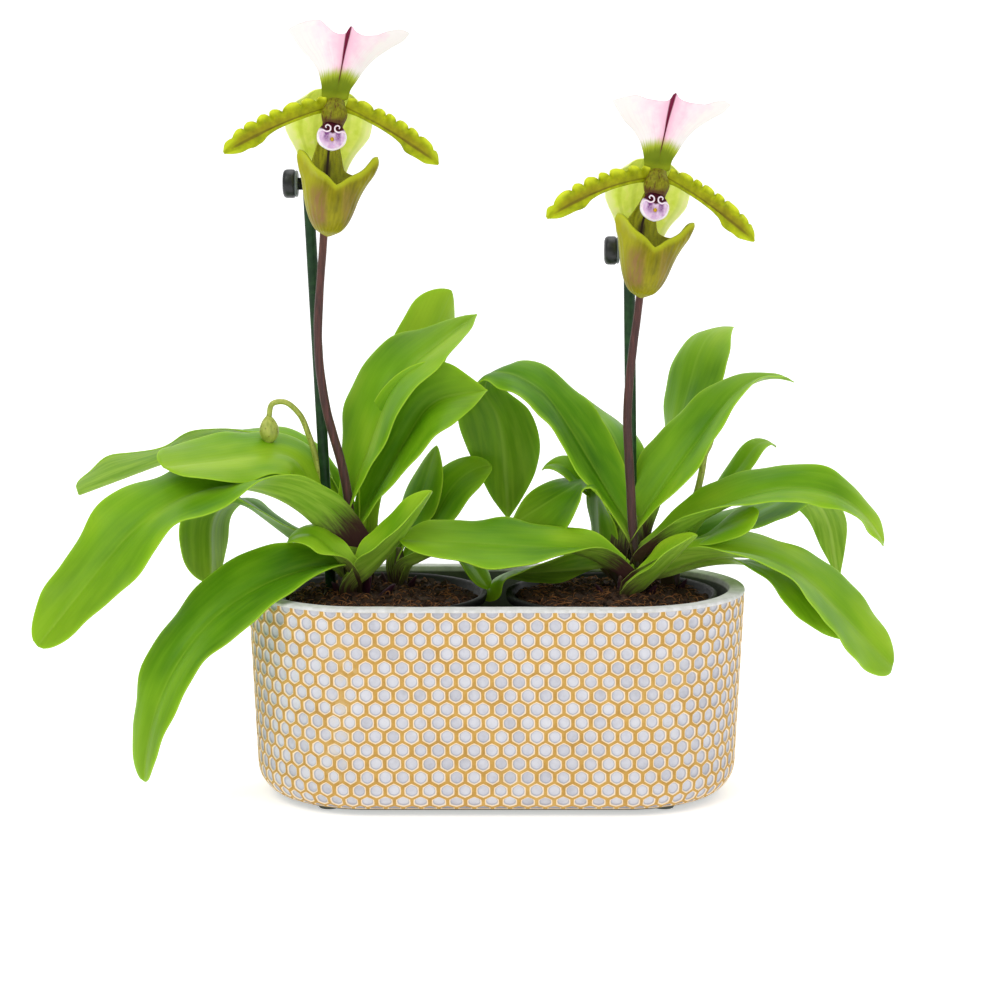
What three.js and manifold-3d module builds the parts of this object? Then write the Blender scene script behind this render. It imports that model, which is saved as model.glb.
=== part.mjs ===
// A pair of slipper orchids in bloom, each in its own plastic liner pot, side by side in one oval
// cement planter with a raised honeycomb net. Millimetres, +Z up, +Y away from the front view.
import * as THREE from "three";
import { mergeVertices } from "three/addons/utils/BufferGeometryUtils.js";
import Module from "manifold-3d";

const wasm = await Module();
wasm.setup();

// Driving dimensions of the planter
const PLANTER_LENGTH = 211;
const PLANTER_DEPTH = 105;
const PLANTER_HEIGHT = 89;
const WALL = 7;
const FLOOR_TOP = 9.5;
const FOOT_HEIGHT = 1.2;
const FOOT_RADIUS = 4.5;
const FOOT_REACH = [70, 29];
const SIDE_TAPER = 3.2;
const BASE_ROUNDING = 13;
const RIM_BAND = 1.4;
const RIM_SOFTENING = 0.7;
const INNER_DRAFT = 3;

// Driving dimensions of the honeycomb net
const CELLS_ON_STRAIGHT = 12;
const CELLS_ON_END = 19;
const CELL_ROWS = 12;
const CELL_ROW_PITCH = 7.25;
const CELL_DEPTH = 1.3;

// Driving dimensions of the liner pots and what fills them
const LINER_OFFSET = 49;
const LINER_RADIUS = 45;
const LINER_TOP = 86.5;
const LINER_WALL = 1.2;
const LINER_BOTTOM_RADIUS = 30;
const MEDIUM_TOP = 85;
const MEDIUM_RELIEF = 1.6;

// Clearance between solids that touch on the real plant
const GAP = 0.3;

const DEG = Math.PI / 180;

const COLOURS = {
  cement: [0xc9b487, 0.75],
  liner: [0x2b2e30, 0.45],
  bark: [0x3a2418, 0.95],
  leaf: [0x5f9e1f, 0.45],
  sheath: [0x8f9a4a, 0.5],
  scape: [0x5a2a30, 0.5],
  stake: [0x27552a, 0.4],
  clip: [0x16191b, 0.4],
  white: [0xf4e8ee, 0.5],
  lime: [0xb9c92c, 0.45],
  pouch: [0xa3a03a, 0.35],
  lilac: [0xc98fc4, 0.4],
};

const materials = {};
for (const [name, [color, roughness]] of Object.entries(COLOURS)) {
  materials[name] = new THREE.MeshStandardMaterial({ color, roughness, metalness: 0 });
}

const { clamp, lerp } = THREE.MathUtils;

function smooth(t) {
  const x = clamp(t, 0, 1);
  return x * x * (3 - 2 * x);
}

// A small repeatable random sequence, one for each seed
function randomFrom(seed) {
  let state = seed;
  return () => {
    state = (state * 1664525 + 1013904223) % 4294967296;
    return state / 4294967296;
  };
}

// Closed solids

function solidOf(geometry) {
  geometry.deleteAttribute("normal");
  geometry.deleteAttribute("uv");
  const merged = mergeVertices(geometry, 1e-4);
  const made = new wasm.Manifold(
    new wasm.Mesh({
      numProp: 3,
      vertProperties: merged.attributes.position.array,
      triVerts: new Uint32Array(merged.index.array),
    }),
  );
  return made;
}

function solidFrom(points, triangles) {
  let sixfoldVolume = 0;
  for (const [a, b, c] of triangles) {
    const normal = new THREE.Vector3().crossVectors(points[b], points[c]);
    sixfoldVolume += points[a].dot(normal);
  }
  const faces = sixfoldVolume < 0 ? triangles.map(([a, b, c]) => [a, c, b]) : triangles;
  const geometry = new THREE.BufferGeometry().setFromPoints(points);
  geometry.setIndex(faces.flat());
  return solidOf(geometry);
}

function largestBody(solid) {
  const bodies = solid.decompose();
  bodies.sort((a, b) => b.volume() - a.volume());
  return bodies[0];
}

// Triangles between two rings of points, where the second has as many points or half as many
function bandBetween(first, second) {
  const faces = [];
  const step = first.length / second.length;
  for (let i = 0; i < first.length; i++) {
    const next = (i + 1) % first.length;
    const j = Math.floor(i / step);
    const k = Math.floor((i + step) / step) % second.length;
    if (step === 1) {
      faces.push([first[i], first[next], second[k]], [first[i], second[k], second[j]]);
    } else if (i % 2 === 0) {
      faces.push([first[i], first[next], second[j]]);
    } else {
      faces.push([first[i], first[next], second[k]], [first[i], second[k], second[j]]);
    }
  }
  return faces;
}

function fan(ring, centre) {
  return ring.map((point, i) => [point, ring[(i + 1) % ring.length], centre]);
}

// A turned solid on the axis through x, y. The profile lists radius and height, from axis to axis
function turned(profile, sides, x = 0, y = 0) {
  const geometry = new THREE.LatheGeometry(
    profile.map(([r, z]) => new THREE.Vector2(r, z)),
    sides,
  );
  geometry.rotateX(Math.PI / 2);
  geometry.translate(x, y, 0);
  const solid = solidOf(geometry);
  return solid;
}

// A tapering rod along a smooth curve through the given points
function rod(route, radii, sides, steps) {
  const curve = new THREE.CatmullRomCurve3(route.map((p) => new THREE.Vector3(...p)));
  const frames = curve.computeFrenetFrames(steps);
  const points = [];
  const rings = [];
  for (let i = 0; i <= steps; i++) {
    const t = i / steps;
    const centre = curve.getPointAt(t);
    const place = t * (radii.length - 1);
    const k = Math.min(Math.floor(place), radii.length - 2);
    const radius = lerp(radii[k], radii[k + 1], smooth(place - k));
    const ring = [];
    for (let j = 0; j < sides; j++) {
      const angle = (2 * Math.PI * j) / sides;
      const point = centre.clone();
      point.addScaledVector(frames.normals[i], radius * Math.cos(angle));
      point.addScaledVector(frames.binormals[i], radius * Math.sin(angle));
      ring.push(points.push(point) - 1);
    }
    rings.push(ring);
  }
  const faces = [];
  for (let i = 0; i < steps; i++) faces.push(...bandBetween(rings[i], rings[i + 1]));
  const start = points.push(curve.getPointAt(0)) - 1;
  const end = points.push(curve.getPointAt(1)) - 1;
  faces.push(...fan([...rings[0]].reverse(), start), ...fan(rings[steps], end));
  return solidFrom(points, faces);
}

// A thin sheet with thickness on both sides of the surface at(s, u), s from 0 to 1, u from -1 to 1
function sheet(at, stations, lanes, thickness) {
  const small = 0.004;
  const top = [];
  const bottom = [];
  const points = [];
  for (const s of stations) {
    const upper = [];
    const lower = [];
    for (const u of lanes) {
      const middle = at(s, u);
      const along = at(Math.min(s + small, 1), u).sub(at(Math.max(s - small, 0), u));
      const across = at(s, u + small).sub(at(s, u - small));
      const normal = along.cross(across).normalize();
      const half = thickness(s, u) / 2;
      upper.push(points.push(middle.clone().addScaledVector(normal, half)) - 1);
      lower.push(points.push(middle.clone().addScaledVector(normal, -half)) - 1);
    }
    top.push(upper);
    bottom.push(lower);
  }
  const faces = [];
  const last = lanes.length - 1;
  for (let i = 0; i + 1 < stations.length; i++) {
    for (let j = 0; j < last; j++) {
      const [a, b, c, d] = [top[i][j], top[i + 1][j], top[i + 1][j + 1], top[i][j + 1]];
      const [e, f, g, h] = [bottom[i][j], bottom[i + 1][j], bottom[i + 1][j + 1], bottom[i][j + 1]];
      faces.push([a, b, c], [a, c, d], [e, g, f], [e, h, g]);
    }
    faces.push([top[i][0], bottom[i][0], bottom[i + 1][0]], [top[i][0], bottom[i + 1][0], top[i + 1][0]]);
    faces.push([top[i][last], bottom[i + 1][last], bottom[i][last]]);
    faces.push([top[i][last], top[i + 1][last], bottom[i + 1][last]]);
  }
  for (const [i, side] of [[0, 1], [stations.length - 1, -1]]) {
    for (let j = 0; j < last; j++) {
      const quad = [top[i][j], top[i][j + 1], bottom[i][j + 1], bottom[i][j]];
      const [a, b, c, d] = side > 0 ? quad : [quad[1], quad[0], quad[3], quad[2]];
      faces.push([a, b, c], [a, c, d]);
    }
  }
  return solidFrom(points, faces);
}

// The oval planter

const END_RADIUS = PLANTER_DEPTH / 2;
const STRAIGHT = PLANTER_LENGTH - PLANTER_DEPTH;
const AROUND = 2 * (CELLS_ON_STRAIGHT + CELLS_ON_END);

// A point of the oval at a place counted in cells round it, moved in by inset
function ovalPoint(place, inset, z) {
  const cell = ((place % AROUND) + AROUND) % AROUND;
  const half = cell % (AROUND / 2);
  const turn = cell >= AROUND / 2 ? -1 : 1;
  const radius = END_RADIUS - inset;
  let x = STRAIGHT / 2;
  let y = 0;
  if (half < CELLS_ON_STRAIGHT) {
    x = -STRAIGHT / 2 + (half / CELLS_ON_STRAIGHT) * STRAIGHT;
    y = -radius;
  } else {
    const angle = ((half - CELLS_ON_STRAIGHT) / CELLS_ON_END - 0.5) * Math.PI;
    x += radius * Math.cos(angle);
    y = radius * Math.sin(angle);
  }
  return new THREE.Vector3(turn * x, turn * y, z);
}

const NET_TOP = PLANTER_HEIGHT - RIM_BAND;
const ROUNDING_START = FOOT_HEIGHT + BASE_ROUNDING;
const SIDE_RUN = Math.hypot(NET_TOP - ROUNDING_START, SIDE_TAPER);

// The outer wall at a distance down from the rim band: straight and tapered, then rounded under
function wallAt(down) {
  if (down <= SIDE_RUN) {
    const t = down / SIDE_RUN;
    return { inset: SIDE_TAPER * t, z: lerp(NET_TOP, ROUNDING_START, t), lean: 0 };
  }
  const lean = (down - SIDE_RUN) / BASE_ROUNDING;
  return {
    inset: SIDE_TAPER + BASE_ROUNDING * (1 - Math.cos(lean)),
    z: ROUNDING_START - BASE_ROUNDING * Math.sin(lean),
    lean,
  };
}

function netPoint(place, down, depth) {
  const { inset, z, lean } = wallAt(down);
  return ovalPoint(place, inset + depth * Math.cos(lean), z + depth * Math.sin(lean));
}

function planter() {
  const points = [];
  const faces = [];
  const add = (point) => points.push(point) - 1;
  const ring = (count, inset, z, shift = 0) => {
    const step = AROUND / count;
    return Array.from({ length: count }, (_, i) => add(ovalPoint(i * step + shift, inset, z)));
  };
  // Edge rows run through cell centres, so they alternate centre and wall points
  const topEdge = Array.from({ length: 2 * AROUND }, (_, i) => add(netPoint(i / 2, 0, 0)));
  const lastDown = CELL_ROWS * CELL_ROW_PITCH;
  const lastShift = (CELL_ROWS % 2) / 2;
  const bottomEdge = Array.from({ length: AROUND }, (_, c) => add(netPoint(c + lastShift, lastDown, 0)));
  // Corners of the cells, two for each cell in the strip between two rows
  const upper = [];
  const lower = [];
  for (let row = 0; row < CELL_ROWS; row++) {
    const down = row * CELL_ROW_PITCH;
    const shift = (row % 2) / 2;
    const nextShift = ((row + 1) % 2) / 2;
    const third = CELL_ROW_PITCH / 3;
    upper.push(Array.from({ length: AROUND }, (_, c) => add(netPoint(c + nextShift, down + third, 0))));
    lower.push(Array.from({ length: AROUND }, (_, c) => add(netPoint(c + shift, down + 2 * third, 0))));
  }
  const wrap = (c) => (c + AROUND) % AROUND;
  for (let row = 0; row < CELL_ROWS; row++) {
    const shift = (row % 2) / 2;
    for (let c = 0; c < AROUND; c++) {
      const left = row % 2 ? c : wrap(c - 1);
      const right = row % 2 ? wrap(c + 1) : c;
      let down = row * CELL_ROW_PITCH;
      let corners;
      if (row === 0) {
        down += CELL_ROW_PITCH * 0.24;
        const [before, middle, after] = [2 * c - 1, 2 * c, 2 * c + 1].map(
          (i) => topEdge[(i + 2 * AROUND) % (2 * AROUND)],
        );
        corners = [middle, before, upper[0][left], lower[0][c], upper[0][right], after];
      } else {
        const above = row - 1;
        corners = [
          upper[above][c],
          lower[above][left],
          upper[row][left],
          lower[row][c],
          upper[row][right],
          lower[above][right],
        ];
      }
      const centre = add(netPoint(c + shift, down, CELL_DEPTH));
      faces.push(...fan(corners, centre));
    }
  }
  // The net ends in a plain strip under the last full row
  const end = CELL_ROWS - 1;
  for (let c = 0; c < AROUND; c++) {
    const left = CELL_ROWS % 2 ? c : wrap(c - 1);
    const right = wrap(left + 1);
    faces.push([lower[end][left], bottomEdge[c], upper[end][c]]);
    faces.push([upper[end][c], bottomEdge[c], lower[end][right]]);
    faces.push([lower[end][right], bottomEdge[c], bottomEdge[wrap(c + 1)]]);
  }
  // Rim band, top, inner wall and inner floor
  const innerTop = WALL - 0.3;
  const bandTop = ring(AROUND, 0, PLANTER_HEIGHT - RIM_SOFTENING);
  const rimOuter = ring(AROUND, RIM_SOFTENING, PLANTER_HEIGHT);
  const rimInner = ring(AROUND, innerTop - RIM_SOFTENING, PLANTER_HEIGHT);
  const wallTop = ring(AROUND / 2, innerTop, PLANTER_HEIGHT - RIM_SOFTENING);
  const wallFoot = ring(AROUND / 2, WALL + INNER_DRAFT, FLOOR_TOP);
  const floorCentre = add(new THREE.Vector3(0, 0, FLOOR_TOP));
  faces.push(...bandBetween(topEdge, bandTop));
  faces.push(...bandBetween(bandTop, rimOuter));
  faces.push(...bandBetween(rimOuter, rimInner));
  faces.push(...bandBetween(rimInner, wallTop));
  faces.push(...bandBetween(wallTop, wallFoot));
  faces.push(...fan(wallFoot, floorCentre));
  // Rounded underside
  const under = wallAt(SIDE_RUN + BASE_ROUNDING * (Math.PI / 2));
  const underRing = ring(AROUND, under.inset, FOOT_HEIGHT, lastShift);
  const underCentre = add(new THREE.Vector3(0, 0, FOOT_HEIGHT));
  faces.push(...bandBetween([...bottomEdge], underRing).map(([a, b, c]) => [a, c, b]));
  faces.push(...fan([...underRing].reverse(), underCentre));
  let body = solidFrom(points, faces);
  // Cast feet
  const [footX, footY] = FOOT_REACH;
  for (const [sx, sy] of [[-1, -1], [1, -1], [1, 1], [-1, 1]]) {
    const profile = [[0, 0], [FOOT_RADIUS, 0], [FOOT_RADIUS, 4], [0, 4]];
    body = body.add(turned(profile, 10, sx * footX, sy * footY));
  }
  return body;
}

// Liner pots and planting medium

const LINER_FOOT = FLOOR_TOP + GAP;
const LINER_BODY_RADIUS = 40.8;

function liner(x) {
  const lip = LINER_TOP - 4.4;
  const profile = [
    [0, LINER_FOOT],
    [LINER_BOTTOM_RADIUS, LINER_FOOT],
    [LINER_BOTTOM_RADIUS + 0.9, LINER_FOOT + 0.9],
    [LINER_BODY_RADIUS, lip],
    [LINER_RADIUS - 0.6, lip + 0.9],
    [LINER_RADIUS, LINER_TOP - 1],
    [LINER_RADIUS - 0.6, LINER_TOP],
    [LINER_RADIUS - 2.2, LINER_TOP - 0.2],
    [LINER_BODY_RADIUS - LINER_WALL, lip],
    [LINER_BOTTOM_RADIUS - 0.3, LINER_FOOT + LINER_WALL],
    [0, LINER_FOOT + LINER_WALL],
  ];
  return turned(profile, 20, x, 0);
}

function linerInnerRadius(z) {
  const t = (z - LINER_FOOT - LINER_WALL) / (LINER_TOP - 4.4 - LINER_FOOT - LINER_WALL);
  return lerp(LINER_BOTTOM_RADIUS - 0.3, LINER_BODY_RADIUS - LINER_WALL, clamp(t, 0, 1));
}

// Loose bark, heaped a little unevenly and level with the liner's shoulder at its edge
function medium(x, seed) {
  const random = randomFrom(seed);
  const sides = 16;
  const foot = LINER_FOOT + LINER_WALL + GAP;
  const shoulder = LINER_TOP - 5.2;
  const points = [];
  const rings = [];
  const addRing = (radius, height) => {
    const ring = [];
    for (let i = 0; i < sides; i++) {
      const angle = (2 * Math.PI * i) / sides;
      const [across, away] = [x + radius * Math.cos(angle), radius * Math.sin(angle)];
      ring.push(points.push(new THREE.Vector3(across, away, height())) - 1);
    }
    rings.push(ring);
  };
  addRing(linerInnerRadius(foot) - 0.5, () => foot);
  addRing(linerInnerRadius(shoulder) - 0.5, () => shoulder);
  for (const radius of [33, 23, 12]) {
    addRing(radius, () => MEDIUM_TOP + MEDIUM_RELIEF * (random() - 0.6));
  }
  const faces = [];
  for (let i = 0; i + 1 < rings.length; i++) faces.push(...bandBetween(rings[i], rings[i + 1]));
  const bottom = points.push(new THREE.Vector3(x, 0, foot)) - 1;
  const top = points.push(new THREE.Vector3(x, 0, MEDIUM_TOP)) - 1;
  faces.push(...fan([...rings[0]].reverse(), bottom), ...fan(rings[rings.length - 1], top));
  return solidFrom(points, faces);
}

// Crowns: the short stems wrapped in leaf sheaths that the leaves fan out from

const CROWN_FOOT = 73.5;
const CROWNS = {
  crown_left_main: { foot: [-60.5, 2], head: [-64.5, 6.5], top: 120, radii: [8, 7.4, 6.4, 5, 2.6] },
  crown_left_side: { foot: [-42, 17], head: [-42, 19], top: 102, radii: [5, 4.6, 3.6, 1.8] },
  crown_right_main: { foot: [59, 0], head: [59.5, 6], top: 118, radii: [8, 7.4, 6.2, 4.8, 2.6] },
  crown_right_side: { foot: [75, 14], head: [77, 17], top: 103, radii: [5, 4.6, 3.6, 1.8] },
};

function crown({ foot, head, top, radii }, extra = 0) {
  const ends = [[...foot, CROWN_FOOT - extra], [...head, top + extra]];
  return rod(ends, radii.map((r) => r + extra), 8, radii.length - 1);
}

// Leaves. Each one leaves its crown at a heading (0 is right, 90 away, 180 left), rises at one slope
// and ends at another, and swings its heading through that bend. Tilt rolls the blade about its rib,
// fold is how far each half stands up from flat, at the foot and on the blade.
// form: widest place, foot width share, bluntness of the tip. wave: height, count, start.
// A leaf that folds back over itself has stations instead: its rib and its two edges at each one.

const TIP_HALF_WIDTH = 0.9;
const LEAF_EDGE = 0.8;
const LEAF_RIB = 1.5;

const LEAVES = {
  leaf_left_1: {
    from: [-66, -1, 102.5], heading: 208, swing: -6, slope: [60, -49], bend: [0.35, 0.87],
    size: [167, 46], tilt: [2, -41], fold: [73, 21], form: [0.35, 0.64, 0.45], wave: [2.5, 3.5, 0],
  },
  leaf_left_4: {
    from: [-61, -5, 99], heading: 213, swing: -10, slope: [8, -93], bend: [0.52, 1.4],
    size: [142, 38], tilt: [-30, -14], fold: [42, 21], form: [0.31, 0.4, 0.45], wave: [1, 3, 1],
  },
  leaf_left_5: {
    from: [-68, 1, 95.5], heading: 154, swing: 5, slope: [30, -91], bend: [0.63, 0.4],
    size: [101, 36], tilt: [20, 10], fold: [56, 21], form: [0.8, 0.41, 0.65],
  },
  leaf_left_3: {
    from: [-67.5, 5.5, 106.5], heading: 186, swing: 30, slope: [66, -2], bend: [0.41, 0.25],
    size: [103, 41], tilt: [-38, -16], fold: [17, 14], form: [0.8, 0.57, 0.45], wave: [1.2, 3, 2],
  },
  leaf_left_2: {
    from: [-62.5, 13.2, 111.5], heading: 145, swing: 43, slope: [70, -20], bend: [0.31, 0.67],
    size: [143, 43], tilt: [-3, 19], fold: [48, 29], form: [0.8, 0.21, 0.35], wave: [1.5, 3.5, 0],
  },
  leaf_left_8: {
    from: [-65, 4, 117.5], heading: 26, swing: 12, slope: [68, 30], bend: [0.55, 0.3],
    size: [113, 46], tilt: [7, 14], fold: [20, 27], form: [0.45, 0.25, 0.95], wave: [0.8, 3, 0],
  },
  leaf_left_10: {
    from: [-60.3, 6.3, 112], heading: 4, swing: 18, slope: [60, 5], bend: [0.72, 0.3],
    size: [89, 47], tilt: [27, 56], fold: [18, 35], form: [0.57, 0.25, 1.1],
  },
  leaf_left_9: {
    from: [-56, 11, 111.5], heading: 82, swing: -26, slope: [86, 50], bend: [0.13, 0.59],
    size: [121, 31], tilt: [28, 84], fold: [50, 0], form: [0.8, 0.4, 0.73],
  },
  leaf_left_6: {
    from: [-63, -14, 100], heading: 179, swing: -4, slope: [47, -42], bend: [0.7, 0.68],
    size: [31, 24.5], tilt: [-20, -12], fold: [57, 13], form: [0.51, 0.45, 0.79],
  },
  leaf_left_7: {
    from: [-58, -12, 92.5], heading: -11, swing: 2, slope: [44, 59], bend: [0.5, 1],
    size: [51, 31], tilt: [13, 29], fold: [63, 47], form: [0.3, 0.43, 0.66],
  },
  leaf_left_11: {
    from: [-43, 20, 97.5], heading: 41, slope: [61, 69], bend: [0.54, 1],
    size: [52, 22], tilt: [18, -5], fold: [50, 8], form: [0.55, 0.42, 0.77],
  },
  leaf_left_12: {
    from: [-38, 18, 93], heading: 24, slope: [60, -11], bend: [0.83, 0.72],
    size: [61, 25], tilt: [7, 37], fold: [50, 15], form: [0.55, 0.42, 0.59],
  },
  leaf_left_13: {
    from: [-39, 14, 95.3], heading: -8, swing: -10, slope: [26, -52], bend: [0.49, 0.56],
    size: [45, 18], tilt: [-18, 17], fold: [50, 16], form: [0.63, 0.42, 0.56],
  },
  leaf_right_1: {
    size: [168, 36], fold: [35, 15],
    stations: [
      [[57, 0, 113.7], [59.7, 2, 118], [54, -5, 112]],
      [[48.7, 4, 126.4], [56.5, 8, 133], [45.3, -5, 125.2]],
      [[40, 9, 140.7], [50.3, 16, 149.2], [33, -3, 139.4]],
      [[30, 14, 156.4], [42.8, 23, 161], [24, 1, 155.4]],
      [[21.2, 20, 168.2], [31.3, 29, 172], [16, 7, 163.2]],
      [[12.3, 25, 174], [20, 33, 180.2], [7, 14, 169.7]],
      [[4, 30, 176.6], [10.2, 37, 180.7], [0.6, 21, 171]],
      [[-3.7, 36, 175.2], [2.8, 43, 175.8], [-5.8, 27, 174]],
      [[-5.5, 41, 167.2], [3.3, 47, 168.3], [-13.3, 34, 165.3]],
      [[-0.3, 42, 157.4], [14.3, 47, 158.6], [-17, 40, 155.8]],
      [[2.4, 42, 146], [19, 46, 145.4], [-13.4, 42, 143.2]],
      [[3.7, 41, 132.7], [17.4, 44, 132.3], [-7.8, 43, 131]],
      [[4.6, 40, 120.8], [11.6, 42, 120.5], [-2, 42, 120]],
      [[5, 39, 111.2], [5.9, 39, 111.4], [4.1, 39, 111.4]],
    ],
  },
  leaf_right_2: {
    from: [58, 2.5, 112.5], heading: 20, swing: 10, slope: [51, -77], bend: [0.95, 0.82],
    size: [104, 40], tilt: [23, 2], fold: [33, 31], form: [0.33, 0.39, 1.2],
  },
  leaf_right_5: {
    from: [63.5, -2.5, 103], heading: 15, swing: 30, slope: [30.5, -85], bend: [0.75, 1.36],
    size: [134, 30.5], tilt: [1, 55], fold: [62, 24], form: [0.3, 0.37, 0.46], wave: [1, 3, 0],
  },
  leaf_right_6: {
    from: [60, -7, 90.5], heading: 3, swing: 25, slope: [29, -43], bend: [0.33, 0.72],
    size: [145, 46], tilt: [-4, 60], fold: [61, 17], form: [0.53, 0.33, 0.45], wave: [1, 3, 0],
  },
  leaf_right_12: {
    from: [53, -6, 93.5], heading: 188, swing: -2, slope: [54, 4], bend: [0.13, 0.54],
    size: [98, 38.5], tilt: [-17, -27], fold: [76, 16], form: [0.52, 0.38, 0.61], wave: [1, 2.5, 0],
  },
  leaf_right_3: {
    from: [66, 11, 112.5], heading: 60, swing: -19, slope: [57, -10], bend: [0.86, 0.42],
    size: [114, 33], tilt: [-57, 1], fold: [50, 4], form: [0.58, 0.42, 0.95],
  },
  leaf_right_4: {
    from: [57, 12, 111.5], heading: 112, slope: [86, 19], bend: [0.37, 0.65],
    size: [86, 30], tilt: [-16, 19], fold: [50, 0], form: [0.66, 0.39, 0.76],
  },
  leaf_right_7: {
    from: [68, 9, 99.5], heading: 38, swing: 1, slope: [13, -76], bend: [0.69, 0.34],
    size: [144, 29], tilt: [21, -21], fold: [50, 7], form: [0.51, 0.42, 1.2],
  },
  leaf_right_8: {
    from: [67, 0, 92], heading: 19, swing: -12, slope: [15, -57], bend: [0.52, 1.02],
    size: [103, 31], tilt: [-40, 63], fold: [50, 3], form: [0.56, 0.34, 0.81],
  },
  leaf_right_9: {
    from: [78, 18, 99.5], heading: 33, swing: 2, slope: [46, -46], bend: [0.9, 0.29],
    size: [74, 14.5], tilt: [-20, 16], fold: [50, 15], form: [0.6, 0.42, 0.76],
  },
  leaf_right_10: {
    from: [77, 10, 98.5], heading: -10, swing: -10, slope: [37, 28], bend: [0.42, 0.94],
    size: [42, 22], tilt: [-4, 36], fold: [52, 9], form: [0.71, 0.43, 0.69],
  },
  leaf_right_11: {
    from: [59, -13, 88.8], heading: -8, swing: 6, slope: [43, 46], bend: [0.5, 1.08],
    size: [35, 28], tilt: [4, 7.5], fold: [58, 41], form: [0.53, 0.48, 0.73],
  },
  leaf_right_13: {
    from: [46, 8, 101], heading: 168, slope: [86, -33], bend: [0.43, 0.17],
    size: [76, 36], tilt: [52, -60], fold: [10, 0], form: [0.59, 0.45, 1.14],
  },
  leaf_right_14: {
    from: [52, 17, 110], heading: 148, swing: -8, slope: [46, -54], bend: [0.84, 0.58],
    size: [50, 16], tilt: [18, -26], fold: [50, 23], form: [0.59, 0.42, 0.77],
  },
  leaf_right_15: {
    from: [47, 2, 97], heading: 171, swing: 21, slope: [-5, -64], bend: [0.79, 0.32],
    size: [59, 27], tilt: [62, -2], fold: [50, 0], form: [0.8, 0.43, 0.51],
  },
};

// A leaf given by stations along it: a place on the rib and the two edges beside it
function stationSurface({ stations }) {
  const [rib, right, left] = [0, 1, 2].map((k) => {
    const places = stations.map((station) => new THREE.Vector3(...station[k]));
    return new THREE.CatmullRomCurve3(places, false, "catmullrom", 0.5);
  });
  return (s, u) => {
    const place = rib.getPoint(clamp(s, 0, 1));
    const across = left.getPoint(clamp(s, 0, 1)).sub(right.getPoint(clamp(s, 0, 1)));
    const lift = rib.getTangent(clamp(s, 0, 1)).cross(across).normalize();
    const edge = (u > 0 ? left : right).getPoint(clamp(s, 0, 1)).sub(place);
    const side = Math.abs(u);
    const bulge = 0.22 * edge.length() * side * (1 - side) * smooth(s / 0.4);
    return place.addScaledVector(edge, side).addScaledVector(lift, bulge);
  };
}

function leafSurface(leaf) {
  if (leaf.stations) return stationSurface(leaf);
  const steps = 160;
  const [bendAt, bendOver] = leaf.bend;
  const [length, width] = leaf.size;
  const [widest, foot, blunt] = leaf.form;
  const [waveHeight, waveCount, waveStart] = leaf.wave ?? [0, 0, 0];
  const directionAt = (s) => {
    const bent = smooth((s - (bendAt - bendOver / 2)) / bendOver);
    const slope = lerp(leaf.slope[0], leaf.slope[1], bent) * DEG;
    const heading = (leaf.heading + (leaf.swing ?? 0) * bent) * DEG;
    return { slope, heading };
  };
  const rib = [new THREE.Vector3(...leaf.from)];
  for (let i = 0; i < steps; i++) {
    const { slope, heading } = directionAt((i + 0.5) / steps);
    const along = new THREE.Vector3(
      Math.cos(slope) * Math.cos(heading),
      Math.cos(slope) * Math.sin(heading),
      Math.sin(slope),
    );
    rib.push(rib[i].clone().addScaledVector(along, length / steps));
  }
  return (s, u) => {
    const place = clamp(s, 0, 1) * steps;
    const k = Math.min(Math.floor(place), steps - 1);
    const point = rib[k].clone().lerp(rib[k + 1], place - k);
    const { slope, heading } = directionAt(s);
    const along = new THREE.Vector3(
      Math.cos(slope) * Math.cos(heading),
      Math.cos(slope) * Math.sin(heading),
      Math.sin(slope),
    );
    const flat = new THREE.Vector3(-Math.sin(heading), Math.cos(heading), 0);
    const up = new THREE.Vector3().crossVectors(along, flat);
    const tilt = lerp(leaf.tilt[0], leaf.tilt[1], smooth(s)) * DEG;
    const across = flat.clone().multiplyScalar(Math.cos(tilt)).addScaledVector(up, Math.sin(tilt));
    const lift = up.multiplyScalar(Math.cos(tilt)).addScaledVector(flat, -Math.sin(tilt));
    const beyond = clamp((s - widest) / (1 - widest), 0, 1);
    const grown = foot + (1 - foot) * smooth(s / widest);
    const half = Math.max((width / 2) * grown * (1 - beyond ** 2.2) ** blunt, TIP_HALF_WIDTH);
    const fold = lerp(leaf.fold[0], leaf.fold[1], smooth(s / 0.45)) * DEG;
    const side = Math.abs(u);
    const phase = 2 * Math.PI * waveCount * s + waveStart + (u > 0 ? 1.3 : 0);
    const wave = waveHeight * Math.sin(phase) * side * side * smooth(s / 0.3) * smooth((1 - s) / 0.15);
    const rise = half * side * Math.sin(fold) - half * 0.22 * side * side * smooth(s / 0.4) + wave;
    point.addScaledVector(across, half * u * Math.cos(fold));
    point.addScaledVector(lift, rise);
    return point;
  };
}

// A leaf blade as a closed solid, thicker by the given amount all round when it is used as a cutter
function leafSolid(leaf, extra = 0) {
  const at = leafSurface(leaf);
  const [length, width] = leaf.size;
  const count = leaf.stations ? leaf.stations.length + 2 : Math.round(5 + length / 32);
  const closer = leaf.stations ? 1 : 1.25;
  const stations = Array.from({ length: count + 1 }, (_, i) => 1 - (1 - i / count) ** closer);
  const reach = 1 + extra / 9;
  const lanes = width > 35 ? [-reach, -0.55, 0, 0.55, reach] : [-reach, 0, reach];
  const thickness = (s, u) => {
    const fold = lerp(leaf.fold[0], leaf.fold[1], smooth(s / 0.45)) * DEG;
    const mitre = u === 0 ? 1 / Math.max(Math.cos(fold), 0.45) : 1;
    const rib = lerp(LEAF_EDGE, lerp(LEAF_RIB, LEAF_EDGE, s * s), 1 - Math.min(Math.abs(u), 1));
    return (rib + 2 * extra) * mitre;
  };
  return sheet(at, stations, lanes, thickness);
}

// Flower stems, stakes, clips and the side shoots

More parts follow.
